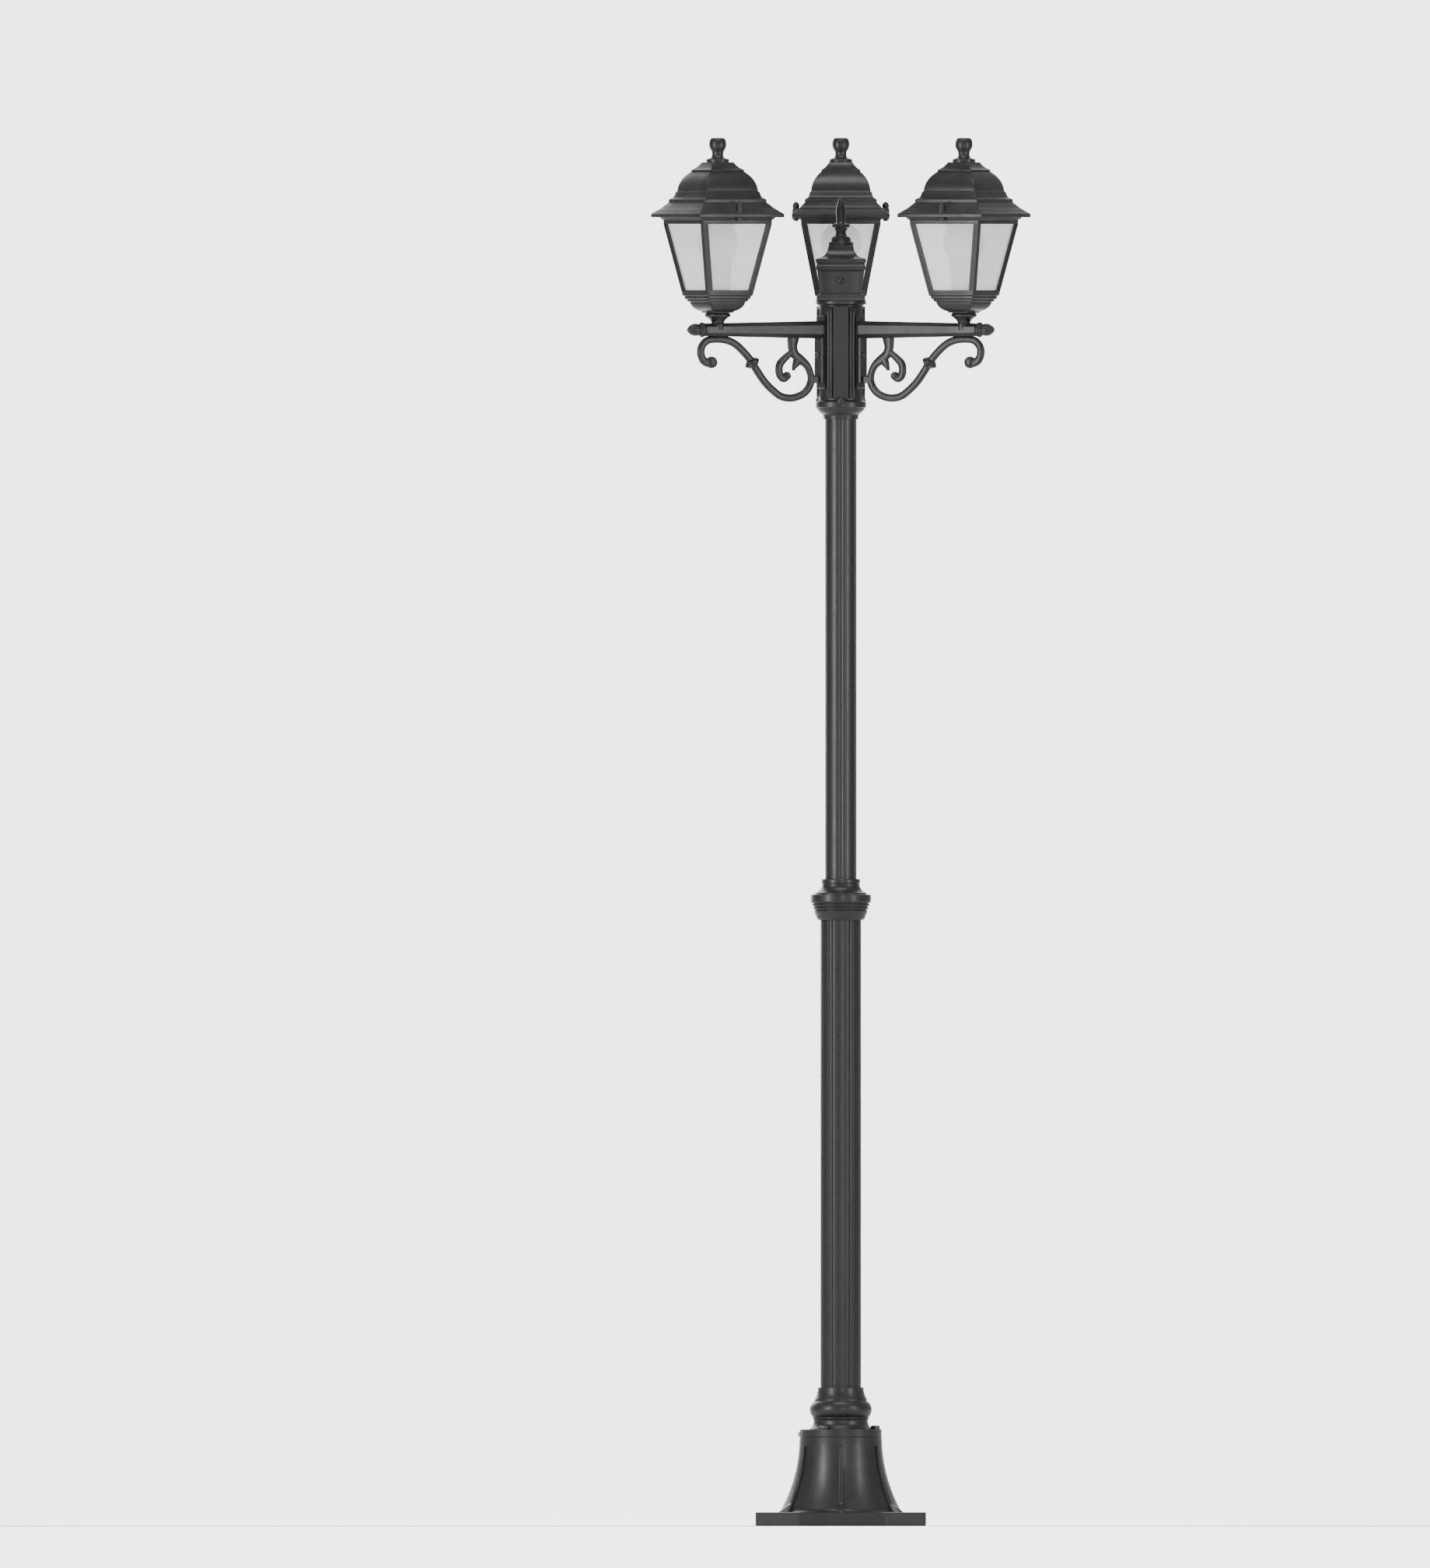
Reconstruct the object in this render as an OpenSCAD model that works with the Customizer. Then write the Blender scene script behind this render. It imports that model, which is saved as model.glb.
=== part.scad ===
// Street lamp post with three square lanterns on scroll arms.
// Millimetres, +Z up. The origin is on the column's axis, at the underside of the base plate.
// The left and right arms reach towards -Y, and the rear arm reaches towards +Y.

/* [Base] */
// Radius of the hexagonal base plate to its corners
plate_r = 123.8; // [115:0.1:150]
// Thickness of the base plate
plate_t = 19.4; // [12:0.1:26]
// Height of the bell, from the plate to the flange
bell_h = 105.5; // [85:0.5:140]
// How far the bell flares out at its foot
bell_flare = 28.3; // [20:0.1:34]
// Wall of the bell
bell_wall = 6; // [4:0.5:9]
// How far the ribs stand out of the bell
rib_proud = 4.5; // [3:0.1:7]
// Radius of the circle that the anchor holes lie on
anchor_circle_r = 107; // [103:0.5:110]
// Radius of an anchor hole
anchor_hole_r = 5.5; // [4:0.1:6.5]

/* [Column] */
// Outer radius of the lower tube
lower_r = 29.7; // [24:0.1:36]
// Outer radius of the upper tube
upper_r = 22.8; // [19:0.1:27.4]
// Wall of both tubes
tube_wall = 4.5; // [3.5:0.1:6]
// Depth of the flutes in both tubes
flute_d = 1.9; // [1.2:0.1:2.2]
// Length of the lower tube that shows
lower_len = 673.3; // [500:0.1:900]
// Length of the upper tube that shows
upper_len = 662.2; // [500:0.1:900]
// Thickness of the flange on the pole socket
flange_t = 13.9; // [10:0.1:18]
// Width of the ledge outside the lower tube on the flange
flange_ledge = 29.5; // [28:0.1:34]
// Gap around a tube or spigot in its socket
slip = 0.25; // [0.15:0.05:0.4]

/* [Head and arms] */
// Radius of the reeded drum of the column head
drum_r = 34.2; // [33:0.1:41]
// Height of the column head
head_h = 171; // [160:0.5:200]
// Half the width of a flat panel on the head
panel_half = 11.5; // [9:0.1:13]
// Distance from the column's axis to a lantern's axis
arm_reach = 204.9; // [170:0.1:250]
// Depth of the arm bar at the column
bar_root_h = 25.5; // [22:0.1:30]
// Depth of the arm bar at its tip
bar_tip_h = 18.3; // [17:0.1:21]
// Width of the scroll's band, seen from the side of the arm
band_w = 11.2; // [8:0.1:13]
// Thickness of the scroll, across the arm
band_t = 9; // [6:0.1:12]

/* [Lanterns] */
// Half the width of the roof at its eave
eave_half = 70.7; // [60:0.1:85]
// How far the eave stands out past the cage's top
eave_over = 13.1; // [10:0.1:16]
// How much narrower each side of the cage is at its foot
cage_taper = 19.1; // [14:0.1:23]
// Height of the windows
window_h = 94.5; // [80:0.5:120]
// Width of a corner post on each face
post_w = 9.2; // [7:0.1:12]
// Wall of the cage
cage_wall = 2.5; // [2:0.1:3]
// Thickness of a pane
pane_t = 2; // [1.5:0.1:2.5]
// Gap around a pane
pane_gap = 0.2; // [0.1:0.05:0.4]
// Wall of the roof
roof_wall = 3; // [2:0.1:4]
// Radius of the lamp's globe
globe_r = 30; // [22:0.5:32]
// Radius of the roof studs
stud_r = 2; // [1.5:0.1:2.3]

/* [Hidden] */
$fn = 64;
SIDES = ["left", "right", "rear"];
ARM_DIRS = [210, 330, 90];
PANEL_DIRS = [270, 30, 150];
LAMP_PARTS = ["arm", "arm_tip", "stem", "tube_and_nut", "cage", "panes", "roof", "roof_finial",
    "roof_nuts", "roof_studs", "lamp_holder", "lamp", "lamp_lead"];
COLUMN_PARTS = ["base_casting", "pole_socket", "flange_bolts", "earth_screw", "lower_tube",
    "mid_collar", "collar_screw", "upper_tube", "head_socket", "column_head", "head_ring", "head_screws",
    "arm_screws", "terminal_block", "head_cap", "cap_screw", "cap_finial"];

// Colours
enamel = "#222427";
steel = "#35373a";
nickel = "#a9a6a0";
brass = "#b0904e";
clear = [0.86, 0.88, 0.87, 0.45];
white = "#ecebe6";

// Levels of the column, from the ground up
socket_h = 60.5;
mid_h = 59.4;
z_flange = plate_t + bell_h;
z_socket = z_flange + flange_t;
z_lower = z_socket + socket_h;
z_mid = z_lower + lower_len;
z_upper = z_mid + mid_h;
z_head = z_upper + upper_len;
z_cap = z_head + head_h;
arm_drop = 42;
z_arm = z_cap - arm_drop;

// Radii that follow the tubes
cable_r = 12;
flange_r = lower_r + flange_ledge;
bell_top_r = flange_r + 0.5;
bell_foot_r = bell_top_r + bell_flare;
bell_roof_t = 11;
bolt_circle_r = flange_r - 9.6;
bolt_r = 4;
bolt_gap = 0.1;
bolt_head_d = 13;
spot_r = bolt_head_d / 2 / cos(30) + 0.5;
socket_seat = 8;
mid_seat = 24;
mid_web = 7;
head_seat = 34;
head_web = 6;

// The head's inside, and the ring that guides its cap
cavity_r = 27;
ring_r = 24;
ring_wall = 3.5;
ring_h = 38;
seat_r = drum_r - 0.6;
seat_half = 12;
reed_r = 2.3;
reed_first = 25;
reed_pitch = 9;
wire_hole_r = 4.5;

// Arms: the plate, the bores and the lantern's seat
plate_out = 4.9;
plate_half = 9.5;
plate_low = -77;
screw_drop = 36.3;
screw_r = 2.5;
bar_tip_x = arm_reach + 23.7;
tube_r = 5;
tube_bore = 3.6;
lead_r = 2.6;
lead_bend = 8;
boss_h = 10.4;
z_lantern = z_arm + boss_h;

// Lantern levels, measured up from the arm's seat
stem_h = 14;
pan_floor_h = 30;
sill_h = 45;
window_low = sill_h + 2.5;
window_top = window_low + window_h;
cage_top = window_top + 9.5;
cage_head_half = eave_half - eave_over;
cage_foot_half = cage_head_half - cage_taper;
rim_h = 3;
ear_r = 5.6;
eave_h = 5.6;
nut_seat = cage_top + 5.5;
nut_h = 17.4;
nut_r = 5.5;
nut_off = eave_half - 6.1;
roof_h = 79.5;
roof_top_half = 17.1;
skirt_share = 0.7;
skirt_foot_h = 20;
skirt_wall = 2.6;
roof_open_half = cage_head_half - 5.6;
holder_foot = pan_floor_h + 5.5;
holder_h = 44;
holder_r = 17;

// Points from p to q, bowed to the right of the way by sag. A negative sag hollows the line.
function bow(p, q, sag, n = 6) =
    let (d = q - p, side = [d.y, -d.x] / norm(d))
    [for (i = [0 : n]) let (t = i / n) p + d * t + side * (4 * sag * t * (1 - t))];

// Catmull-Rom curve through points p, with n steps between each two
function at(p, i) = p[max(0, min(len(p) - 1, i))];
function spline(p, n = 4) = concat([for (i = [0 : len(p) - 2]) for (k = [0 : n - 1])
    let (t = k / n, a = at(p, i - 1), b = p[i], c = p[i + 1], d = at(p, i + 2))
    0.5 * (2 * b + (c - a) * t + (2 * a - 5 * b + 4 * c - d) * t * t
        + (3 * b - a - 3 * c + d) * t * t * t)], [p[len(p) - 1]]);

function reversed(p) = [for (i = [len(p) - 1 : -1 : 0]) p[i]];

// Flat band along a centre line whose points are [x, z, half width]
function run_of(c, i) = at(c, i + 1) - at(c, i - 1);
function band_edge(c, side) = [for (i = [0 : len(c) - 1])
    let (d = run_of(c, i), u = [-d.y, d.x] / norm([d.x, d.y]))
    [c[i].x, c[i].y] + side * c[i].z * u];
module band(points, thickness) {
    c = spline(points);
    rotate([90, 0, 0])
        linear_extrude(thickness, center = true)
            polygon(concat(band_edge(c, 1), reversed(band_edge(c, -1))));
}

// Round turning: the outer line and the bore's line, both from the bottom up, as [radius, z]
module turned(outer, bore) rotate_extrude() polygon(concat(outer, reversed(bore)));

// Square turning: a solid whose plan is a square of half width x at each height z
module square_stack(p) {
    outline = concat(p, [for (q = reversed(p)) [-q.x, q.y]]);
    span = 2 * max([for (q = p) q.x]) + 2;
    intersection() {
        rotate([90, 0, 0]) linear_extrude(span, center = true) polygon(outline);
        rotate([90, 0, 90]) linear_extrude(span, center = true) polygon(outline);
    }
}

// Square block between two heights
module square_block(half, z0, z1) translate([-half, -half, z0]) cube([2 * half, 2 * half, z1 - z0]);

// Screw along +Z: domed head above 0, shank below
module dome_screw(head_r, head_h, shank_r, shank_l)
    rotate_extrude()
        polygon(concat([[0, -shank_l], [shank_r, -shank_l], [shank_r, 0]],
            [for (a = [0 : 15 : 75]) [head_r * cos(a), head_h * sin(a)]], [[0, head_h]]));

// Puts a piece that is drawn along +Z on the radius r in direction a, pointing outwards
module radial(a, r, z) rotate([0, 0, a]) translate([r, 0, z]) rotate([0, 90, 0]) children();
module on_arm(i) rotate([0, 0, ARM_DIRS[i]]) translate([0, 0, z_arm]) children();
module on_lantern(i)
    rotate([0, 0, ARM_DIRS[i]]) translate([arm_reach, 0, z_lantern]) children();

// ---- Base ----
function bell_line(r_top, r_foot, z0, z1, n = 10) = [for (i = [0 : n])
    let (t = i / n) [r_top + (r_foot - r_top) * pow(1 - t, 2), z0 + (z1 - z0) * t]];

module rib() {
    inside = bell_line(bell_top_r - 2, bell_foot_r - 2, plate_t - 1, z_flange - 9);
    outside = bell_line(bell_top_r + rib_proud - 2, bell_foot_r + rib_proud - 2,
        plate_t + 12, z_flange - 9);
    foot = [[bell_foot_r + 16, plate_t - 1]];
    intersection() {
        rotate([90, 0, 0])
            linear_extrude(20, center = true)
                polygon(concat(inside, reversed(outside), foot));
        rotate([90, 0, 90])
            linear_extrude(bell_foot_r + 30)
                polygon([[-4.1, plate_t - 2], [4.1, plate_t - 2], [2, z_flange], [-2, z_flange]]);
    }
}

module base_casting() color(enamel) difference() {
    union() {
        cylinder(r = plate_r, h = plate_t, $fn = 6);
        turned(concat([[bell_foot_r, plate_t - 5]],
            bell_line(bell_top_r, bell_foot_r, plate_t, z_flange)),
            [[0, plate_t - 5], [0, z_flange]]);
        for (a = [30 : 60 : 330]) rotate([0, 0, a]) rib();
    }
    turned(concat([[bell_foot_r - bell_wall, -1]],
        bell_line(bell_top_r - bell_wall, bell_foot_r - bell_wall,
            plate_t, z_flange - bell_roof_t)),
        [[0, -1], [0, z_flange - bell_roof_t]]);
    translate([0, 0, plate_t]) cylinder(r = cable_r + 6, h = bell_h + 1);
    for (a = [0 : 60 : 300])
        rotate([0, 0, a]) translate([anchor_circle_r, 0, -1])
            cylinder(r = anchor_hole_r, h = plate_t + 2);
    for (a = [0 : 120 : 240])
        rotate([0, 0, a]) translate([bolt_circle_r, 0, z_flange - bell_roof_t - 1])
            cylinder(r = bolt_r + bolt_gap, h = bell_roof_t + 2);
}

module flange_bolts() color(steel) for (a = [0 : 120 : 240])
    rotate([0, 0, a]) translate([bolt_circle_r, 0, z_socket]) {
        cylinder(d = bolt_head_d / cos(30), h = 5.6, $fn = 6);
        translate([0, 0, -flange_t - bell_roof_t])
            cylinder(r = bolt_r, h = flange_t + bell_roof_t);
    }

module pole_socket() color(enamel) difference() {
    neck = lower_r + 9.5;
    turned(concat([[flange_r, z_flange], [flange_r, z_socket], [neck + 5.8, z_socket]],
        bow([neck + 5.8, z_socket + 1], [neck, z_socket + 13.4], -1.6, 5),
        bow([neck + 0.6, z_socket + 17.8], [neck + 0.6, z_socket + 40], 4.9, 8),
        [[neck - 1, z_socket + 41.2]],
        bow([lower_r + 6.4, z_socket + 46.6], [lower_r + 3.3, z_lower], -0.6, 4)),
        [[cable_r + 6, z_flange], [cable_r + 6, z_flange + socket_seat],
        [lower_r + slip, z_flange + socket_seat], [lower_r + slip, z_lower]]);
    for (a = [0 : 120 : 240])
        rotate([0, 0, a]) translate([bolt_circle_r, 0, z_flange - 1])
            cylinder(r = bolt_r + bolt_gap, h = flange_t + 2);
    for (a = [0 : 120 : 240])
        rotate([0, 0, a]) translate([bolt_circle_r, 0, z_socket]) cylinder(r = spot_r, h = 9);
    radial(180, flange_r - 11, z_flange + flange_t / 2) cylinder(r = 2.1, h = 20);
}

module earth_screw() color(brass)
    radial(180, flange_r, z_flange + flange_t / 2) dome_screw(3.6, 3, 2, 10);

// ---- Tubes ----
module fluted_tube(r, z0, z1, first) difference() {
    translate([0, 0, z0]) cylinder(r = r, h = z1 - z0);
    translate([0, 0, z0 - 1]) cylinder(r = r - tube_wall, h = z1 - z0 + 2);
    flute_r = 5.2;
    for (a = [first : 60 : first + 300])
        rotate([0, 0, a]) translate([r - flute_d + flute_r, 0, z0 - 1])
            cylinder(r = flute_r, h = z1 - z0 + 2, $fn = 32);
}

module lower_tube() color(enamel)
    fluted_tube(lower_r, z_flange + socket_seat, z_mid + mid_seat, 0);
module upper_tube() color(enamel)
    fluted_tube(upper_r, z_mid + mid_seat + mid_web, z_head + head_seat, 30);

module mid_collar() color(enamel) difference() {
    r = lower_r;
    ledge = z_mid + 36.6;
    turned(concat([[r + 3.3, z_mid], [r + 5.6, z_mid + 4.4]],
        bow([r + 7, z_mid + 9], [r + 13.4, z_mid + 22], 0.8, 5),
        [[r + 13.9, z_mid + 26.6], [r + 13.9, ledge], [upper_r + 12, ledge + 0.4]],
        bow([upper_r + 12, ledge + 3.4], [upper_r + 3.9, z_mid + 53], -1.5, 5),
        [[upper_r + 3.6, z_upper]]),
        [[r + slip, z_mid], [r + slip, z_mid + mid_seat], [cable_r, z_mid + mid_seat],
        [cable_r, z_mid + mid_seat + mid_web], [upper_r + slip, z_mid + mid_seat + mid_web],
        [upper_r + slip, z_upper]]);
    radial(270, upper_r - 2, ledge + 4.5) cylinder(r = 2.1, h = 30);
}
module collar_screw() color(steel)
    radial(270, upper_r + 12.1, z_mid + 41.1)
        dome_screw(3.2, 2.4, 2, 12.1 + flute_d - 0.6);

// ---- Head ----
// The head is one casting, cut across at its two webs: socket, drum and ring
module head_casting() difference() {
    lip = drum_r + 2.4;
    union() {
        turned(concat([[upper_r + 2.7, z_head], [upper_r + 2.7, z_head + 4]],
            bow([upper_r + 3.8, z_head + 7.4], [drum_r + 0.8, z_head + 16.4], 0.8, 4),
            [[lip, z_head + 17.4], [lip, z_head + 25.4], [drum_r - 1.8, z_head + 28],
            [drum_r - 1.8, z_cap - 6.6], [lip, z_cap - 5], [lip, z_cap],
            [ring_r, z_cap], [ring_r, z_cap + ring_h]]),
            [[0, z_head], [0, z_cap + ring_h]]);
        for (i = [0 : 2]) {
            rotate([0, 0, PANEL_DIRS[i]])
                translate([0, -panel_half, z_head + 20])
                    cube([drum_r, 2 * panel_half, head_h - 22]);
            radial(PANEL_DIRS[i], drum_r - 4, z_head + 26.4) cylinder(r = 5.7, h = 6.6);
            rotate([0, 0, ARM_DIRS[i]])
                translate([0, -seat_half, z_arm - 84])
                    cube([seat_r, 2 * seat_half, 84 + 20]);
        }
        for (a = PANEL_DIRS) for (side = [-1, 1]) for (k = [0, 1])
            rotate([0, 0, a + side * (reed_first + reed_pitch * k)])
                translate([drum_r - 2.2, 0, z_head + 25])
                    cylinder(r = reed_r, h = head_h - 28, $fn = 24);
    }
    translate([0, 0, z_head - 1]) cylinder(r = upper_r + slip, h = head_seat + 1);
    translate([0, 0, z_head]) cylinder(r = cable_r, h = head_h + ring_h);
    translate([0, 0, z_head + head_seat + head_web])
        cylinder(r = cavity_r, h = head_h - head_seat - 2 * head_web);
    translate([0, 0, z_cap - head_web - 1])
        cylinder(r = ring_r - ring_wall, h = head_web + ring_h + 2);
    for (i = [0 : 2]) {
        radial(PANEL_DIRS[i], upper_r - 2, z_head + 26.4) cylinder(r = screw_r + 0.1, h = 30);
        radial(ARM_DIRS[i], cavity_r - 2, z_arm) cylinder(r = wire_hole_r, h = 20);
        radial(ARM_DIRS[i], cavity_r - 2, z_arm - screw_drop) cylinder(r = screw_r + 0.1, h = 20);
    }
}

module head_slice(z0, z1) color(enamel) intersection() {
    head_casting();
    square_block(drum_r + 20, z0, z1);
}
module head_socket() head_slice(z_head, z_head + head_seat + head_web);
module column_head() head_slice(z_head + head_seat + head_web, z_cap - head_web);
module head_ring() head_slice(z_cap - head_web, z_cap + ring_h);

module head_screws() color(steel) for (a = PANEL_DIRS)
    radial(a, drum_r + 2.6, z_head + 26.4) dome_screw(5.5, 3.4, screw_r, drum_r - upper_r + 2.3);

module arm_screws() color(steel) for (a = ARM_DIRS)
    radial(a, seat_r + plate_out, z_arm - screw_drop)
        dome_screw(4.6, 3, screw_r, plate_out + seat_r - cavity_r);

module terminal_block() {
    floor_z = z_head + head_seat + head_web;
    color(white) difference() {
        union() {
            translate([0, 0, floor_z]) cylinder(r = cable_r + 4, h = 3);
            for (a = [45, 225]) rotate([0, 0, a]) translate([cable_r - 1.5, -3, floor_z])
                cube([4, 6, z_arm - floor_z]);
            translate([0, 0, z_arm - 8]) cylinder(r = cable_r + 2.5, h = 16);
        }
        translate([0, 0, floor_z - 1]) cylinder(r = cable_r - 1, h = 5);
        translate([0, 0, z_arm - 9]) cylinder(r = 5, h = 18);
        for (a = ARM_DIRS) radial(a, 8, z_arm) cylinder(r = lead_r + 0.15, h = 20);
        for (a = ARM_DIRS) rotate([0, 0, a]) translate([9.5, 0, z_arm + 2])
            cylinder(r = 1.8, h = 10, $fn = 24);
    }
}

// ---- Cap of the head ----
cap_screw_h = 29.2;
cap_screw_x = 31.3;
function cap_line() = concat(
    [[35.5, z_cap], [34.5, z_cap + 3], [34.5, z_cap + 6], [32.5, z_cap + 9], [29.8, z_cap + 11]],
    [[34, z_cap + 43], [35.6, z_cap + 45], [35.6, z_cap + 50], [34.5, z_cap + 53],
    [36.2, z_cap + 55], [36.2, z_cap + 60]],
    bow([32, z_cap + 61.5], [18.4, z_cap + 76.5], -3.2, 6),
    [[18.4, z_cap + 79]]);

module cap_panels() for (a = [0 : 90 : 270]) rotate([0, 0, a])
    rotate([90, 0, 90]) linear_extrude(50)
        polygon([[-24.5, z_cap + 16], [24.5, z_cap + 16], [28, z_cap + 41], [-28, z_cap + 41]]);

module head_cap() color(enamel) difference() {
    union() {
        square_stack(cap_line());
        turned([[18.4, z_cap + 78], [18.4, z_cap + 84], [14.5, z_cap + 86], [14.5, z_cap + 90]],
            [[0, z_cap + 78], [0, z_cap + 90]]);
    }
    intersection() {
        cap_panels();
        difference() {
            square_block(60, z_cap + 10, z_cap + 50);
            square_stack([[29.4, z_cap + 11], [33, z_cap + 43]]);
        }
    }
    translate([0, 0, z_cap - 1]) cylinder(r = ring_r + slip, h = 12);
    square_stack([[ring_r + 1, z_cap + 10.5], [29, z_cap + 44], [29, z_cap + 57],
        [12, z_cap + 73]]);
    translate([0, 0, z_cap + 70]) cylinder(r = 4.1, h = 30);
    radial(270, 20, z_cap + cap_screw_h) cylinder(r = screw_r + 0.1, h = 30);
    radial(270, cap_screw_x, z_cap + cap_screw_h) cylinder(r = 4.9, h = 10);
}

module cap_screw() color(steel)
    radial(270, cap_screw_x, z_cap + cap_screw_h)
        dome_screw(4.7, 3, screw_r, cap_screw_x - ring_r - 0.3);

module cap_finial() color(enamel) {
    z = z_cap + 90;
    turned(concat([[4, z - 16], [4, z], [13, z], [13, z + 1.5]],
        bow([10.5, z + 2.5], [7.6, z + 9], -1, 3),
        bow([7.7, z + 10], [9.6, z + 14.5], 0.5, 3),
        [[13.2, z + 16], [13.2, z + 20], [7.8, z + 21.5], [6.5, z + 24]],
        bow([6, z + 26], [2, z + 58], 2.6, 8), [[1, z + 59.9]]),
        [[0, z - 16], [0, z + 59.9]]);
}

// ---- Arm ----
module bar_wedge(root_half, tip_half)
    rotate([90, 0, 0]) linear_extrude(80, center = true)
        polygon([[seat_r, -root_half], [bar_tip_x, -tip_half], [bar_tip_x, tip_half],
            [seat_r, root_half]]);

module arm_bar() intersection_for(a = [0 : 45 : 135])
    rotate([a, 0, 0])
        bar_wedge((a % 90 == 0 ? 1 : 1.06) * bar_root_h / 2, bar_tip_h / 2);

// Scroll lines in the arm's plane: [distance from the column, height from the arm's axis, half width]
scroll_scale = arm_reach / 205;
b = band_w / 2;
function scaled(p) = [for (q = p) [q.x * scroll_scale, q.y, q.z]];
scroll_main = scaled([[78, -4, 10], [79.5, -14, 9], [80.3, -25, 7.2], [77, -35, 7],
    [67, -43, 6.6], [57, -51, 5.6], [51.5, -61, 5], [49.5, -72, b - 0.2], [54, -84, b],
    [65, -93.5, b], [82, -98.3, b], [99, -96.2, b], [113, -87.5, b], [126, -76, b],
    [137, -62.5, b], [151, -43, b], [165, -29, b], [178, -19.5, b], [192, -14.8, b],
    [208, -14, b - 0.5], [222, -15.5, b], [231, -23.5, b], [233, -34, b], [229, -43.5, b + 0.3],
    [222, -47.3, b + 0.9], [215, -47, b + 1.4]]);
scroll_curl = scaled([[80, -31, 4.4], [87, -36, 4.8], [94, -41.7, 5.4], [101, -49, 5.8], [103, -57.4, 5.8],
    [101, -66, 5.8], [95.5, -70.5, 5.4], [89.5, -68.5, 4.8]]);
scroll_leaf = [[84, -34], [79.5, -47], [79, -58.5], [72, -53.5], [64, -48], [68, -36]];
scroll_end = [215, -47, 8.8];
curl_end = [90, -66.5, 6.3];

module scroll_bulb(p) translate([p.x * scroll_scale, 0, p.y])
    rotate([90, 0, 0]) cylinder(r = p.z, h = band_t, center = true);

module scroll_ring() {
    translate([147.5 * scroll_scale, 0, -47.8]) rotate([0, 35, 0])
        turned(concat([[0.5, -3.8]], bow([b + 3.4, -3.8], [b + 3.4, 3.8], 2.4, 6)),
            [[0, -3.8], [0, 3.8]]);
}

module arm_casting() color(enamel) difference() {
    union() {
        arm_bar();
        translate([seat_r, -plate_half, plate_low])
            cube([plate_out, 2 * plate_half, -plate_low - bar_root_h / 2 + 2]);
        translate([seat_r + 1, -band_t / 2, plate_low])
            cube([50 * scroll_scale - seat_r - 1, band_t, 10]);
        translate([arm_reach, 0, 0]) cylinder(r = 9.3, h = boss_h);
        band(scroll_main, band_t);
        band(scroll_curl, band_t - 1);
        rotate([90, 0, 0]) linear_extrude(band_t - 1, center = true)
            polygon([for (p = scroll_leaf) [p.x * scroll_scale, p.y]]);
        scroll_bulb(scroll_end);
        scroll_bulb(curl_end);
        scroll_ring();
    }
    radial(0, seat_r - 1, 0) cylinder(r = wire_hole_r, h = arm_reach - seat_r + 5);
    translate([arm_reach, 0, -5]) cylinder(r = tube_r + 0.1, h = boss_h + 6);
    radial(0, bar_tip_x - 12, 0) cylinder(r = 3.1, h = 20);
    radial(0, seat_r - 1, -screw_drop) cylinder(r = screw_r + 0.1, h = 20);
}

module arm_tip() color(enamel) radial(0, bar_tip_x, 0)
    turned(concat([[3, -11], [3, 0], [9.6, 0], [10.8, 1.5], [10.8, 4], [9.4, 5.6], [8, 8]],
        bow([8.8, 9], [1.2, 27.5], 3.4, 8)), [[0, -11], [0, 27.5]]);

module lamp_lead() color(white) {
    start = 8.5;
    run = arm_reach - lead_bend;
    radial(0, start, 0) cylinder(r = lead_r, h = run - start, $fn = 32);
    translate([run, 0, lead_bend]) rotate([90, 0, 0]) rotate([0, 0, -90])
        rotate_extrude(angle = 90) translate([lead_bend, 0]) circle(r = lead_r, $fn = 32);
    translate([arm_reach, 0, lead_bend])
        cylinder(r = lead_r, h = boss_h + holder_foot + 6 - lead_bend, $fn = 32);
}

// ---- Lantern, from the arm's seat up ----
module stem() color(enamel)
    turned(concat(bow([9.3, 0], [13.3, 5.5], -0.5, 3), [[16, 7.7], [17.8, 8.2]],
        bow([18.2, 8.6], [18, 12.8], 0.6, 3), [[16.8, stem_h]]),
        [[tube_r + 0.1, 0], [tube_r + 0.1, stem_h]]);

module tube_and_nut() color(brass) {
    tube_low = 5.4 - boss_h;
    translate([0, 0, tube_low]) difference() {
        cylinder(r = tube_r, h = holder_foot + 6 - tube_low);
        translate([0, 0, -1]) cylinder(r = tube_bore, h = 80);
    }
    difference() {
        translate([0, 0, pan_floor_h]) cylinder(r = 9, h = 4.5, $fn = 6);
        translate([0, 0, pan_floor_h - 1]) cylinder(r = tube_r, h = 10);
    }
}

function pan_line() = let (f = cage_foot_half) concat(
    [[f - 21.7, stem_h], [f - 21.5, stem_h + 1.5]],
    bow([f - 19, stem_h + 3], [f - 9.4, stem_h + 13], 1.6, 5),
    [[f - 9, stem_h + 15.5], [f - 6, stem_h + 16.5], [f - 5.6, stem_h + 19.5],
    [f - 3.4, stem_h + 20.5], [f - 2.8, stem_h + 24], [f - 1, stem_h + 25],
    [f - 0.6, stem_h + 28.5]]);

module trapezoid(low_half, top_half, z0, z1) rotate([90, 0, 90]) linear_extrude(200)
    polygon([[-low_half, z0], [low_half, z0], [top_half, z1], [-top_half, z1]]);

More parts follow.
